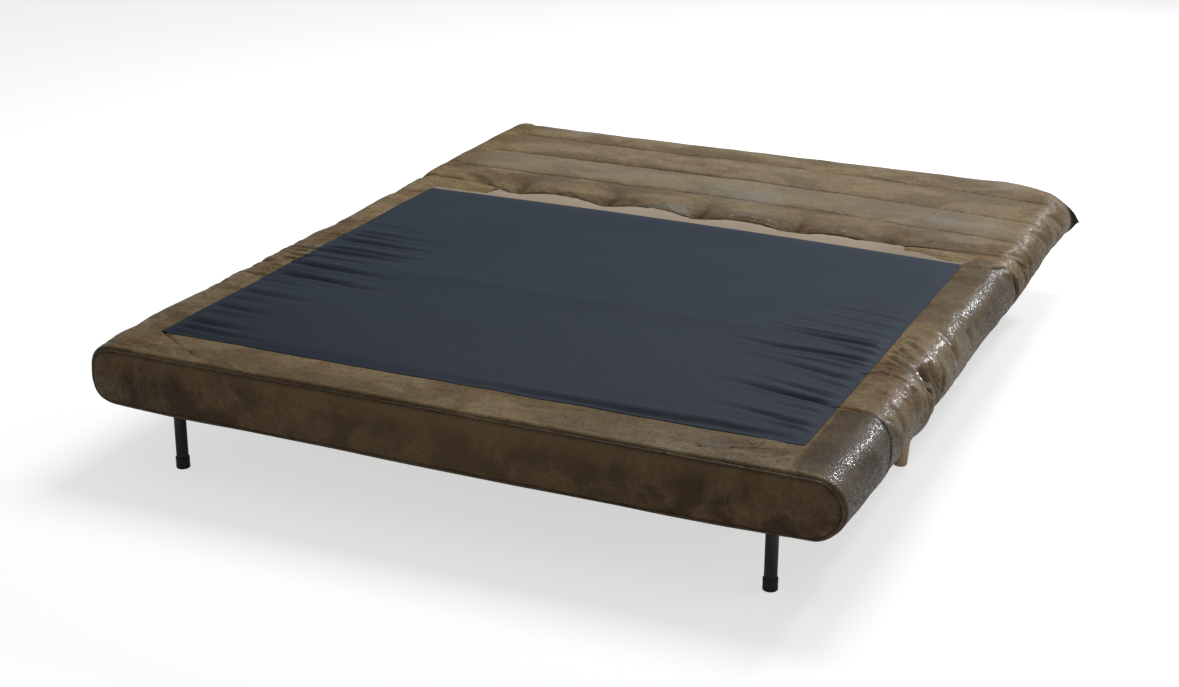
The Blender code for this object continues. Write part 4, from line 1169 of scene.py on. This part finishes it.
def makeLining():
    half = lining["half"]
    x = spacedLine((-half, -0.38, 0.0075), (-0.38, 0.20, 0.015), (0.20, half, 0.0075))
    x = np.unique(np.concatenate([x, -half + np.array([0.002, 0.004]), half - np.array([0.004, 0.002])]))
    y = spacedLine((lining["front"], -0.05, 0.0033), (-0.05, lining["rear"], 0.009))
    gridX, gridY = np.meshgrid(x, y)
    # stretch the plain rectangle to the real outline
    alongY = (gridY - lining["front"]) / (lining["rear"] - lining["front"])
    wander = sheetLook["wander"]
    leftEdge = lining["left"] + wander * softNoise(gridY / 0.045, 0 * gridY, 93)
    rightEdge = lining["right"] + wander * softNoise(gridY / 0.045, 0 * gridY + 9, 93)
    share = (gridX + half) / (2 * half)
    gridX = leftEdge * (1 - share) + rightEdge * share
    frontY = lining["nearEdge"] + wander * softNoise(gridX / 0.09, gridX * 0, 94)
    gridY = frontY + alongY * (rearEdge(gridX) - frontY)
    folds = liningFolds(gridX, gridY, leftEdge, rightEdge)
    # the hem lies on the cover all round, but for the rear, where it lies on the strip
    toLeft, toRight, toFront = gridX - leftEdge, rightEdge - gridX, gridY - frontY
    inward = np.minimum.reduce([toLeft, toRight, toFront, rearEdge(gridX) - gridY + 0.002])
    height = sheetLook["rise"] + sheetLook["foldRise"] * hill(gridY, bed["foldLine"], 0.040)
    height = height * smooth(inward, 0.0, 0.038)
    height += folds * smooth(inward, 0.0, 0.012)
    rowY = y - lining["front"]
    fullLength = lining["rear"] + sheetLook["rearReach"] - lining["nearEdge"]
    rowY = lining["nearEdge"] + rowY / rowY[-1] * fullLength
    atLeft = coverAlong(np.array([lining["left"]]), rowY)[:, None]
    atRight = coverAlong(np.array([lining["right"]]), rowY)[:, None]
    atFront = coverAlong(gridX[0], np.array([lining["nearEdge"]]))[None, :]
    base = atLeft * (1 - smooth(toLeft, 0.004, 0.03)) + atRight * (1 - smooth(toRight, 0.004, 0.03))
    nearFront = 1 - smooth(toFront, 0.004, 0.03)
    base = base * (1 - nearFront) + atFront * nearFront
    points = np.stack([gridX, gridY, bed["top"] + base + height + sheetLook["hemLift"]], -1)
    # painted shade in the wrinkles' valleys
    tone = 0.75 * np.clip(folds / 0.005, -1, 0) * smooth(inward, 0.0, 0.010)
    # painted shade: the near left of the sheet is darker, away from the light on the right
    tone -= 0.24 * (1 - smooth(gridY, -0.85, -0.50)) * (1 - smooth(gridX, -0.60, 0.0))
    piece = gridPiece("liningSheet", points, liningCloth, tone=tone)
    thicken(piece, sheetLook["thickness"])
    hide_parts("front_lining", "seat_lining")
    return piece


liningSheet = makeLining()
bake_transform(liningSheet)
print("Lining:", len(liningSheet.data.polygons), "faces")


# Back section: a padded cover with sewn channels and a row of tufts

back = {
    "seams": (0.3600, 0.5170, 0.6850, 0.8580),
    "seamDepth": 0.0062,
    "seamWidth": 0.0040,
    "crown": 0.0045,
    "lastCrown": 0.0065,
    "tufts": (-0.511, -0.258, -0.012, 0.239, 0.468),
    "tuftDrop": 0.0205,
    "seamHigh": 0.0022,
    "nearRadius": 0.012,
    "earTip": (0.798, 0.978, 0.187),
    "earReach": 0.042,
    "earWidth": 0.024,
}


def tuftRise(x):
    # Along the first seam: 0 where a tuft pulls the cloth down, 1 between two tufts.
    # Beyond the outer tufts it climbs again.
    tufts = np.array(back["tufts"])
    place = np.clip(np.searchsorted(tufts, x) - 1, 0, len(tufts) - 2)
    share = np.clip((x - tufts[place]) / (tufts[place + 1] - tufts[place]), 0, 1)
    between = np.sin(np.pi * share) ** 0.72
    leftEnd = 1 - np.exp(-np.clip(tufts[0] - x, 0, None) / 0.045)
    rightEnd = 0.97 * (1 - np.exp(-np.clip(x - tufts[-1], 0, None) / 0.045))
    return np.where(x < tufts[0], leftEnd, np.where(x > tufts[-1], rightEnd, between))


def seamShown(x):
    # The first seam fades out towards both sides: 1 in the middle, 0 at the sides.
    return (1 - smooth(x, 0.46, 0.66)) * (1 - smooth(-x, 0.58, 0.70))


def firstSeamDrop(x):
    # How deep the first seam lies below the top.
    return back["seamHigh"] * (0.20 + 0.80 * seamShown(x)) + back["tuftDrop"] * (1 - tuftRise(x))


def seamPlace(number, x):
    # The seams run askew: they come nearer towards the right.
    right = np.clip(x, 0, None)
    if number == 0:
        place = back["seams"][0] - 0.020 * x - 0.035 * right + 0.010 * smooth(-x, 0.52, 0.64)
        return np.maximum(place, 0.337)
    return back["seams"][number] - 0.030 * right - 0.070 * right ** 2


def backOffset(x, y, topShare):
    # Channels crowned between their seams, and dimples that reach back from each tuft.
    offset = 0.0009 * softNoise(x / 0.13, y / 0.10, 100) + 0.0005 * softNoise(x / 0.045, y / 0.05, 101)
    tone = np.zeros_like(offset)
    fade = 1 - smooth(np.abs(x), 0.700, 0.795)
    lines = [seamPlace(number, x) for number in range(4)]
    far = bed["backFar"]
    for number, (start, end) in enumerate(zip(lines, lines[1:] + [far + 0 * x])):
        t = np.clip((y - start) / (end - start), 0, 1)
        crown = back["lastCrown"] if number == 3 else back["crown"]
        offset += np.where((y >= start) & (y <= end), crown * np.sin(np.pi * t) ** 0.6 * fade, 0)
    for number in (1, 2, 3):
        line = lines[number] + 0.0012 * softNoise(x / 0.08, 0 * x + number * 7, 102)
        offset -= back["seamDepth"] * np.exp(-np.abs((y - line) / back["seamWidth"]) ** 1.2) * fade
        offset -= 0.30 * back["seamDepth"] * hill(y, line, 0.022) * fade
        tone -= 0.85 * hill(y, line, 0.0021) * fade
        # small puckers beside the seam
        offset += 0.0009 * hill(y, line, 0.016) * softNoise(x / 0.012, y / 0.05 + number, 103) * fade
    # the second channel is the palest, and the others are a little lighter than the border
    tone += 0.22 * smooth(y, lines[1] - 0.02, lines[1]) * fade - 0.06
    tone += 0.30 * smooth(y, lines[1], lines[1] + 0.01) * (1 - smooth(y, lines[2] - 0.01, lines[2])) * fade
    first = lines[0]
    behind = np.clip(y - first, 0, None)
    drop = firstSeamDrop(x)
    atTuft = 1 - tuftRise(x)
    reach = 0.012 + 0.052 * atTuft
    onPad = y >= first
    dimple = drop * np.exp(-(behind / reach) ** 1.15)
    offset -= np.where(onPad, dimple, drop + 0.005)
    shown = seamShown(x)
    puff = 0.0040 * (1 - atTuft) * (0.2 + 0.8 * shown) * hill(behind, 0.026, 0.022)
    offset += np.where(onPad, puff, 0)
    # painted shadow along the first seam under the puffs, and painted shade on the rim in front of it
    tone -= np.where(onPad, (0.10 + 0.45 * shown) * np.exp(-(behind / 0.0045) ** 1.5), 0.25 + 0.55 * shown)
    # a second, shorter tuck above the seam between the tufts, on the right, with painted shade in it
    tuck = np.exp(-((behind - 0.010) / 0.0022) ** 2) * (1 - atTuft)
    tuck = tuck * smooth(x, 0.0, 0.1) * (1 - smooth(x, 0.50, 0.56))
    offset -= np.where(onPad, 0.0016 * tuck, 0)
    tone -= np.where(onPad, 0.45 * tuck, 0)
    # creases that rise from each tuft and close up within the channel, with painted shade in their hollows
    for tuft in back["tufts"]:
        spreadX = 0.012 + 0.50 * behind
        hollow = np.exp(-((x - tuft - 0.15 * behind) / spreadX) ** 2) * np.exp(-(behind / 0.080) ** 1.6)
        offset -= np.where(onPad, 0.0050 * hollow, 0)
        tone -= np.where(onPad, 0.62 * hollow, 0)
        for lean in (-1.3, -0.5, 0.35, 1.1):
            line = np.exp(-((x - tuft - lean * behind) / 0.0045) ** 2) * np.exp(-(behind / 0.045) ** 2)
            offset -= np.where(onPad, 0.0016 * line * smooth(behind, 0.002, 0.012), 0)
    dimples = atTuft * np.exp(-(behind / 0.060) ** 2)
    return offset * topShare, tone * topShare, dimples


def backRows(dust):
    # The rows from the near rim to the half-round far end: where each lies, how far it is drawn
    # in, and how far its outward direction leans along the bed.
    radius = bed["round"]
    near = back["nearRadius"]
    startY = bed["backNear"]
    rimAngle = np.linspace(math.pi / 2, 0, 6)[:-1]
    rimInset = np.concatenate([[radius, 0.045, 0.028], near * (1 - np.cos(rimAngle))])
    rimY = np.concatenate([np.full(3, startY), startY + near * (1 - np.sin(rimAngle))])
    rimTilt = np.concatenate([np.full(3, -math.pi / 2), -rimAngle])
    bodyY = spacedLine((startY + near, 0.385, 0.0020), (0.385, dust[0].y, 0.004), (dust[0].y, 0.45, 0.004),
                       (0.45, 0.53, 0.0026), (0.53, 0.61, 0.005), (0.61, 0.70, 0.0028), (0.70, 0.78, 0.005),
                       (0.78, 0.875, 0.0028), (0.875, bed["backFar"] - radius, 0.005))
    farAngle = np.linspace(0, math.pi / 2, 30)[1:]
    farInset = radius * (1 - np.cos(farAngle))
    farY = bed["backFar"] - radius + radius * np.sin(farAngle)
    rowY = np.concatenate([rimY, bodyY, farY])
    rowInset = np.concatenate([rimInset, np.zeros(len(bodyY)), farInset])
    return rowY, rowInset, np.concatenate([rimTilt, np.zeros(len(bodyY)), farAngle])


def makeBack():
    flat = bed["flat"]
    radius = bed["round"]
    topPlaces = spacedLine((-flat, flat, 0.0062))
    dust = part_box("back_dust_cloth")
    half = spacedLine((flat, dust[1].x, 0.012), (dust[1].x, 0, 0.05))
    underPlaces = np.concatenate([half[:-1], -half[::-1]])
    centre, turn = sectionColumns(topPlaces, underPlaces, 40)
    rowY, rowInset, rowTilt = backRows(dust)
    plain = sectionPoints(centre, turn, rowY, rowInset, rowTilt, np.zeros((len(rowY), len(centre))))
    topShare = np.clip(np.cos(turn), 0, 1)[None, :] ** 0.6 * np.clip(np.cos(rowTilt), 0, 1)[:, None] ** 0.5
    offset, tone, dimples = backOffset(plain[..., 0], plain[..., 1], topShare)
    y = rowY[:, None] + 0 * offset
    leftSide = centre[None, :] < 0
    around = np.abs(np.sin(turn))[None, :]
    swell = sideSwell(y, ~leftSide) * around ** 0.7
    swell += sectionSwell(centre, turn)[None, :]
    waves = softNoise(y / 0.10, 3 * np.sign(centre)[None, :] + 0 * y, 110)
    swell += 0.0022 * smooth(y, 0.345, 0.400) * around ** 2 * waves
    ripples = softNoise(y / 0.028, turn[None, :] * 1.3 + 0 * y, 111)
    folds = 0.0011 * smooth(y, 0.345, 0.375) * around ** 2 * ripples
    folds += np.where(leftSide, 0, sideFolds(turn[None, :] + 0 * y, y))
    offset += (swell + folds) * (1 - rowInset / radius)[:, None]
    # painted shade in the side folds' valleys and painted light on their ridges
    tone = tone + 0.45 * np.clip(folds / 0.005, -1, 0.6)
    # tufts are matt, and the sides shine less than those of the seat
    shine = mattLines(tone)
    shine -= (0.95 * dimples + 0.50 * smooth(np.abs(plain[..., 0]), 0.66, 0.72)) * (1 + shine)
    shine = np.clip(shine, -1, 1)
    points = sectionPoints(centre, turn, rowY, rowInset, rowTilt, offset)
    dropCorner(points)
    # pinned: the near rim, the first seam with its tufts, the sewn seams, the far corners
    # and the underside
    free = smooth(y, 0.352, 0.366) * (fromTop(turn) < math.pi - 0.05) * (rowInset < 0.5 * radius)[:, None]
    free = free * (1 - 0.9 * smooth(np.abs(plain[..., 0]), 0.58, 0.70) * smooth(y, 0.84, 0.92))
    held = 1 - free * (1 - dimples) * (1 + mattLines(tone))
    points = settle(points, held, cloth["backPressure"])
    pullEars(points, tone, shine)
    middleX, middleY = faceMiddles(centre, rowY)
    inBody = ((rowInset[:-1] == 0) & (rowInset[1:] == 0))[:, None]
    inDust = (middleX < dust[1].x) & (middleY > dust[0].y) & (middleY < dust[1].y) & inBody
    keep = ~(flatUnder(turn) & inDust)
    piece = gridPiece("backCover", points, topLeather, wrap=True, keep=keep, tone=tone, shine=shine)
    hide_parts("back_cover", "back_foam", "back_left_edge_foam", "back_right_edge_foam",
                "back_near_edge_foam", "back_far_edge_foam")
    return piece


def sideFolds(turn, y):
    # A few slanting folds down the right side, nearest the hinge.
    around = bed["round"] * turn
    lines = ((((0.052, 0.366), (0.064, 0.378), (0.074, 0.396)), 0.0042, 0.0060),
             (((0.030, 0.440), (0.070, 0.425), (0.120, 0.415)), 0.0018, 0.0110),
             (((0.020, 0.560), (0.060, 0.590), (0.110, 0.640)), 0.0026, 0.0110),
             (((0.030, 0.720), (0.080, 0.770), (0.120, 0.840)), 0.0028, 0.0120))
    return creases(around, y, lines)


def dropCorner(points):
    # The far right corner slopes away: its top falls and its outline is more rounded.
    x, y = points[..., 0], points[..., 1]
    amount = smooth(x, 0.60, 0.80) * smooth(y, 0.80, 1.00)
    high = smooth(points[..., 2], bed["middle"] - 0.02, bed["top"])
    points[..., 2] -= 0.017 * amount * high
    points[..., 1] -= 0.024 * smooth(x, 0.62, 0.81) * smooth(y, 0.90, 1.00)
    points[..., 0] -= 0.019 * amount * high


def pullEars(points, tone, shine):
    # A pointed fold of cloth stands out at each far corner, low on the rounding.
    for sign, share in ((-1, 0.5), (1, 1.0)):
        tip = np.array([sign * back["earTip"][0], back["earTip"][1], back["earTip"][2]])
        way = np.array([sign * 0.80, 0.52, -0.30])
        way = way / np.linalg.norm(way)
        root = tip - 0.026 * way
        gap = np.linalg.norm(points - root, axis=-1)
        start = gap.min()
        pull = share * back["earReach"] * np.exp(-((gap - start) / back["earWidth"]) ** 1.0)
        points += (pull * 0.9)[..., None] * way
        # the fold's underside lies in its own shade, seen beyond an upright line near the tip
        sideways = sign * 0.91 * points[..., 0] + 0.41 * points[..., 1]
        shade = smooth(sideways, sideways.max() - 0.050, sideways.max() - 0.040)
        shade = shade * smooth(bed["top"] - points[..., 2], 0.014, 0.026)
        tone -= (0.35 + 0.60 * share) * shade
        shine -= 0.9 * shade * (1 + shine)


backCover = makeBack()
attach(backCover, "back")
print("Back cover:", len(backCover.data.polygons), "faces")


# Pale strip from the lining's far edge to the back's first seam, over the hinge

strip = {
    "half": 0.706,
    "length": 0.087,
    "flatEnd": 0.3065,
    "proud": 0.0006,
    "hingeDip": 0.0030,
    "thickness": 0.0006,
}


def makeStrip():
    # Flat over the seat's end, then down to the first seam, but held up over the hinge barrels.
    x = spacedLine((-strip["half"], strip["half"], 0.0055))
    share = spacedLine((0, 0.35, 0.05), (0.35, 1, 0.045))
    gridX, gridShare = np.meshgrid(x, share)
    start = rearEdge(gridX) - 0.010
    seam = seamPlace(0, gridX) + 0.0012
    gridY = start + gridShare * (seam - start)
    drop = firstSeamDrop(gridX) + 0.0018
    run = np.clip((gridY - strip["flatEnd"]) / (seam - strip["flatEnd"]), 0, 1)
    height = -drop * run ** 1.25
    overBarrel = smooth(np.abs(gridX), 0.375, 0.388) * (1 - smooth(np.abs(gridX), 0.512, 0.530))
    keepAbove = -strip["hingeDip"] - np.clip(gridY - 0.330, 0, None) * 2.2
    raised = height * (1 - overBarrel) + np.maximum(height, keepAbove) * overBarrel
    height = np.where(overBarrel > 0, np.maximum(height, raised), height)
    height += strip["proud"]
    height += 0.0009 * softNoise(gridX / 0.016, gridY / 0.05, 120) * smooth(gridY, 0.27, 0.32)
    points = np.stack([gridX, gridY, bed["top"] + height], -1)
    # painted shadow along the seam, under the back's puffs
    tone = -0.80 * (1 - smooth(seam - gridY, 0.0, 0.0055))
    tone -= 0.22 * (1 - smooth(gridX, -0.62, -0.48)) + 0.22 * smooth(gridX, 0.44, 0.54)
    piece = gridPiece("paleStrip", points, paleCotton, tone=tone)
    thicken(piece, strip["thickness"])
    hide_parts("pale_strip")
    return piece


paleStrip = makeStrip()
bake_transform(paleStrip)
print("Pale strip made")


# Brown bridges: the cover runs on from the seat to the back at both sides

bridge = {
    "startLeft": 0.555,
    "startRight": 0.532,
    "endTurn": 2.9,
    "startY": 0.286,
    "forward": 0.040,
    "sideEndY": 0.353,
    "proud": 0.0018,
    "length": 0.075,
    "thickness": 0.0012,
}


def makeBridge(sign):
    # The section's outline from beside the strip round to the underside, carried over the gap.
    # Both ends dive just under the covers, so that only a sewn line shows.
    start = bridge["startRight"] if sign > 0 else bridge["startLeft"]
    flatPlaces = spacedLine((start, bed["flat"], 0.005))
    angles = np.linspace(0, bridge["endTurn"], 44)[1:]
    centre = np.concatenate([flatPlaces, np.full(len(angles), bed["flat"])])
    turn = np.concatenate([np.zeros(len(flatPlaces)), angles])
    share = np.linspace(0, 1, 26)[:, None]
    down = smooth(turn, 0.0, 0.7)[None, :]
    x = sign * centre
    endY = (seamPlace(0, x) + 0.0015)[None, :] * (1 - down) + bridge["sideEndY"] * down
    # on the right it reaches forward to the lining
    startY = bridge["startY"] - bridge["forward"] * smooth(x, 0.55, 0.66)[None, :] * (1 - down)
    y = startY + share * (endY - startY)
    around = np.abs(np.sin(turn))[None, :]
    offset = sideSwell(y, sign > 0) * around ** 0.7 + sectionSwell(x, turn)[None, :]
    offset += bridge["proud"] * smooth(share, 0.0, 0.16) - 0.0022 * (1 - smooth(share, 0.0, 0.13))
    endDrop = (firstSeamDrop(x)[None, :] + 0.0012) * (1 - down) + 0.0016 * down
    offset -= endDrop * smooth(share, 0.55 + 0.25 * down, 1.0)
    pleats = softNoise(y / 0.011, turn[None, :] * 2.2 + centre[None, :] * 40 + 0 * y, 130 + sign)
    offset += 0.0009 * pleats * np.sin(np.pi * share) ** 0.5
    radius = bed["round"] + offset
    points = np.stack([sign * (centre[None, :] + radius * np.sin(turn)[None, :]), y,
                       bed["middle"] + radius * np.cos(turn)[None, :]], -1)
    side = "right" if sign > 0 else "left"
    tone = -0.12 * smooth(share, 0.84, 0.96) * (1 - 0.7 * down) + 0 * offset
    piece = gridPiece(side + "HingeCover", points, topLeather, flip=sign < 0,
                      tone=tone, shine=tone * 0 - 0.5)
    thicken(piece, bridge["thickness"])
    return piece


for sign in (-1, 1):
    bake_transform(makeBridge(sign))
print("Hinge covers made")


# Dust cloths under the seat and the back

def makeDustCloth(name, node, body):
    # A thin cloth stapled round its edge that sags a little in the middle.
    low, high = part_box(node)
    margin = 0.006
    x = spacedLine((low.x - margin, high.x + margin, 0.03))
    y = spacedLine((low.y - margin, high.y + margin, 0.02))
    gridX, gridY = np.meshgrid(x, y)
    u = (gridX - low.x) / (high.x - low.x)
    v = (gridY - low.y) / (high.y - low.y)
    sag = 0.0025 * np.clip(np.sin(np.pi * np.clip(u, 0, 1)) * np.sin(np.pi * np.clip(v, 0, 1)), 0, 1) ** 0.5
    wave = 0.0006 * softNoise(gridX / 0.09, gridY / 0.09, 140)
    points = np.stack([gridX, gridY, low.z - 0.0004 - sag + wave * (sag > 0.0008)], -1)
    piece = gridPiece(name, points, dustCloth, flip=True)
    thicken(piece, 0.0004)
    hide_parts(node)
    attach(piece, body)


makeDustCloth("seatDustCloth", "seat_dust_cloth", "seat")
makeDustCloth("backDustCloth", "back_dust_cloth", "back")
print("Dust cloths made")


# Turned legs

def lathe(name, profile, place, material, steps=48):
    # A profile of (radius, height) carried round a vertical axis.
    radius, height = np.array(profile).T
    angle = np.linspace(0, 2 * math.pi, steps, endpoint=False)
    x = place[0] + radius[:, None] * np.cos(angle)[None, :]
    y = place[1] + radius[:, None] * np.sin(angle)[None, :]
    z = place[2] + height[:, None] + 0 * x
    return gridPiece(name, np.stack([x, y, z], -1), material, wrap=True)


def roundedCorner(radius, height, size, start, steps=5):
    # A quarter round in a profile, from the angle start, in quarter turns.
    angle = (start + np.linspace(0, 1, steps)) * math.pi / 2
    return [(radius + size * math.cos(a), height + size * math.sin(a)) for a in angle]


def makeMetalLeg(side):
    low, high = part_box(side + "_metal_leg")
    footLow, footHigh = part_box(side + "_leg_foot")
    place = ((low.x + high.x) / 2, (low.y + high.y) / 2, 0)
    radius = (high.x - low.x) / 2
    footRadius = (footHigh.x - footLow.x) / 2
    tube = [(0, footHigh.z - 0.02), (radius, footHigh.z - 0.02)]
    tube += [(radius, z) for z in np.linspace(footHigh.z, high.z - 0.004, 8)]
    tube += roundedCorner(radius - 0.003, high.z - 0.003, 0.003, 0) + [(0, high.z)]
    leg = lathe(side + "TubeLeg", tube, place, blackCoat)
    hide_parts(side + "_metal_leg")
    cap = [(0, 0.0), (footRadius - 0.003, 0.0)]
    cap += roundedCorner(footRadius - 0.0025, 0.0025, 0.0025, -1)
    cap += [(footRadius - 0.0003, 0.010), (footRadius - 0.0001, 0.018)]
    cap += roundedCorner(footRadius - 0.0014, footHigh.z - 0.0014, 0.0014, 0)
    cap += [(radius + 0.0002, footHigh.z), (radius + 0.0002, footHigh.z - 0.004), (0, footHigh.z - 0.004)]
    foot = lathe(side + "LegFoot", cap, place, blackRubber)
    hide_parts(side + "_leg_foot")
    for piece in (leg, foot):
        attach(piece, side + "_leg")


def makeWoodLeg(corner):
    low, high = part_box(corner + "_wood_leg")
    place = ((low.x + high.x) / 2, (low.y + high.y) / 2, 0)
    topRadius = (high.x - low.x) / 2
    footRadius = 0.0145
    taper = [(footRadius + (topRadius - footRadius) * t, 0.004 + (high.z - 0.008) * t)
             for t in np.linspace(0, 1, 12)]
    profile = [(0, 0)] + roundedCorner(footRadius - 0.004, 0.004, 0.004, -1) + taper[1:]
    profile += roundedCorner(topRadius - 0.004, high.z - 0.004, 0.004, 0) + [(0, high.z)]
    leg = lathe(corner.replace("_l", "L").replace("_r", "R") + "WoodLeg", profile, place, beechWood)
    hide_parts(corner + "_wood_leg")
    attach(leg, "seat")


for side in ("left", "right"):
    makeMetalLeg(side)
    for end in ("front", "rear"):
        makeWoodLeg(end + "_" + side)
print("Legs made")


# Finishes of the CAD nodes that stay

finishes = {"frame_wood": pineWood, "black_steel": blackPlate, "zinc_steel": zincPlate, "foam": openFoam}
slotOf = {part["node"]: part["material_slot"] for part in frame["record"]["subparts"]}
for node, piece in frame["nodes"].items():
    if not piece.hide_render:
        piece.data.materials.clear()
        piece.data.materials.append(finishes[slotOf[node]])
print("CAD nodes finished")


# Camera, floor, lights and background

camera = {
    "place": (1.648, -3.982, 1.693),
    "yaw": math.radians(-24.142),
    "pitch": math.radians(20.8),
    "roll": math.radians(0.29),
    "lens": 60.15,
}


def makeCamera():
    yaw, pitch, roll = camera["yaw"], camera["pitch"], camera["roll"]
    ahead = Vector((math.sin(yaw) * math.cos(pitch), math.cos(yaw) * math.cos(pitch), -math.sin(pitch)))
    level = Vector((math.cos(yaw), -math.sin(yaw), 0))
    above = level.cross(ahead)
    right = level * math.cos(roll) + above * math.sin(roll)
    up = above * math.cos(roll) - level * math.sin(roll)
    data = bpy.data.cameras.new("camera")
    data.lens = camera["lens"]
    data.sensor_width = 36
    viewer = addToScene("camera", data)
    turn = Matrix((right, up, -ahead)).transposed()
    viewer.matrix_world = Matrix.Translation(camera["place"]) @ turn.to_4x4()
    bpy.context.scene.camera = viewer


def seenDirectly(tree, share):
    # 1 for what the camera sees, also through glass, and a small share for what gloss mirrors.
    path = addNode(tree, "ShaderNodeLightPath")
    seen = maths(tree, "MAXIMUM", path.outputs["Is Camera Ray"], path.outputs["Is Transmission Ray"])
    return maths(tree, "MAXIMUM", seen, maths(tree, "MULTIPLY", path.outputs["Is Glossy Ray"], share))


def makeFloor():
    # Pale floor: plain to light, and nearly white to the camera with the shadow kept.
    mesh = bpy.data.meshes.new("floor")
    size = 14
    corners = [(-size, -size, 0), (size, -size, 0), (size, size, 0), (-size, size, 0)]
    mesh.from_pydata(corners, [], [(0, 1, 2, 3)])
    material = bpy.data.materials.new("paleFloor")
    material.use_nodes = True
    tree = material.node_tree
    plain = tree.nodes["Principled BSDF"]
    plain.inputs["Base Color"].default_value = (0.62, 0.62, 0.61, 1)
    plain.inputs["Roughness"].default_value = 0.9
    plain.inputs["Specular IOR Level"].default_value = 0.1
    glow = addNode(tree, "ShaderNodeEmission", Color=(1, 1, 1, 1), Strength=0.62)
    both = addNode(tree, "ShaderNodeAddShader", n0=plain.outputs[0], n1=glow.outputs[0])
    mix = addNode(tree, "ShaderNodeMixShader", n0=seenDirectly(tree, 0.2),
                  n1=plain.outputs[0], n2=both.outputs[0])
    tree.links.new(mix.outputs[0], tree.nodes["Material Output"].inputs["Surface"])
    mesh.materials.append(material)
    addToScene("floor", mesh)


def makeWorld():
    # White where the camera and reflections see it, and a plain soft fill for everything else.
    world = bpy.data.worlds.new("studio")
    world.use_nodes = True
    tree = world.node_tree
    tree.nodes.clear()
    fill = addNode(tree, "ShaderNodeBackground", Color=(0.95, 0.97, 1.0, 1), Strength=0.28)
    white = addNode(tree, "ShaderNodeBackground", Color=(1, 1, 1, 1), Strength=1.0)
    mix = addNode(tree, "ShaderNodeMixShader", n0=seenDirectly(tree, 0.08),
                  n1=fill.outputs[0], n2=white.outputs[0])
    out = tree.nodes.new("ShaderNodeOutputWorld")
    tree.links.new(mix.outputs[0], out.inputs["Surface"])
    bpy.context.scene.world = world


def makeLamp(name, place, aim, size, power, colour=(1, 1, 1)):
    data = bpy.data.lights.new(name, "AREA")
    data.shape = "RECTANGLE"
    data.size, data.size_y = size
    data.energy = power
    data.color = colour
    lamp = addToScene(name, data)
    lamp.location = place
    lamp.rotation_mode = "QUATERNION"
    lamp.rotation_quaternion = (Vector(aim) - Vector(place)).to_track_quat("-Z", "Y")


makeCamera()
makeFloor()
makeWorld()
makeLamp("topLamp", (0.2, 1.3, 3.5), (0, 0.1, 0.2), (2.2, 1.7), 88)
makeLamp("rightLamp", (4.0, 0.6, 1.8), (0, 0, 0.2), (2.2, 1.4), 12)
makeLamp("backLamp", (1.62, 4.1, 2.15), (0.7, 0, 0.25), (0.36, 0.36), 86, (0.86, 0.93, 1.0))
bpy.context.scene.view_settings.view_transform = "Standard"
print("Camera, floor and lights made")
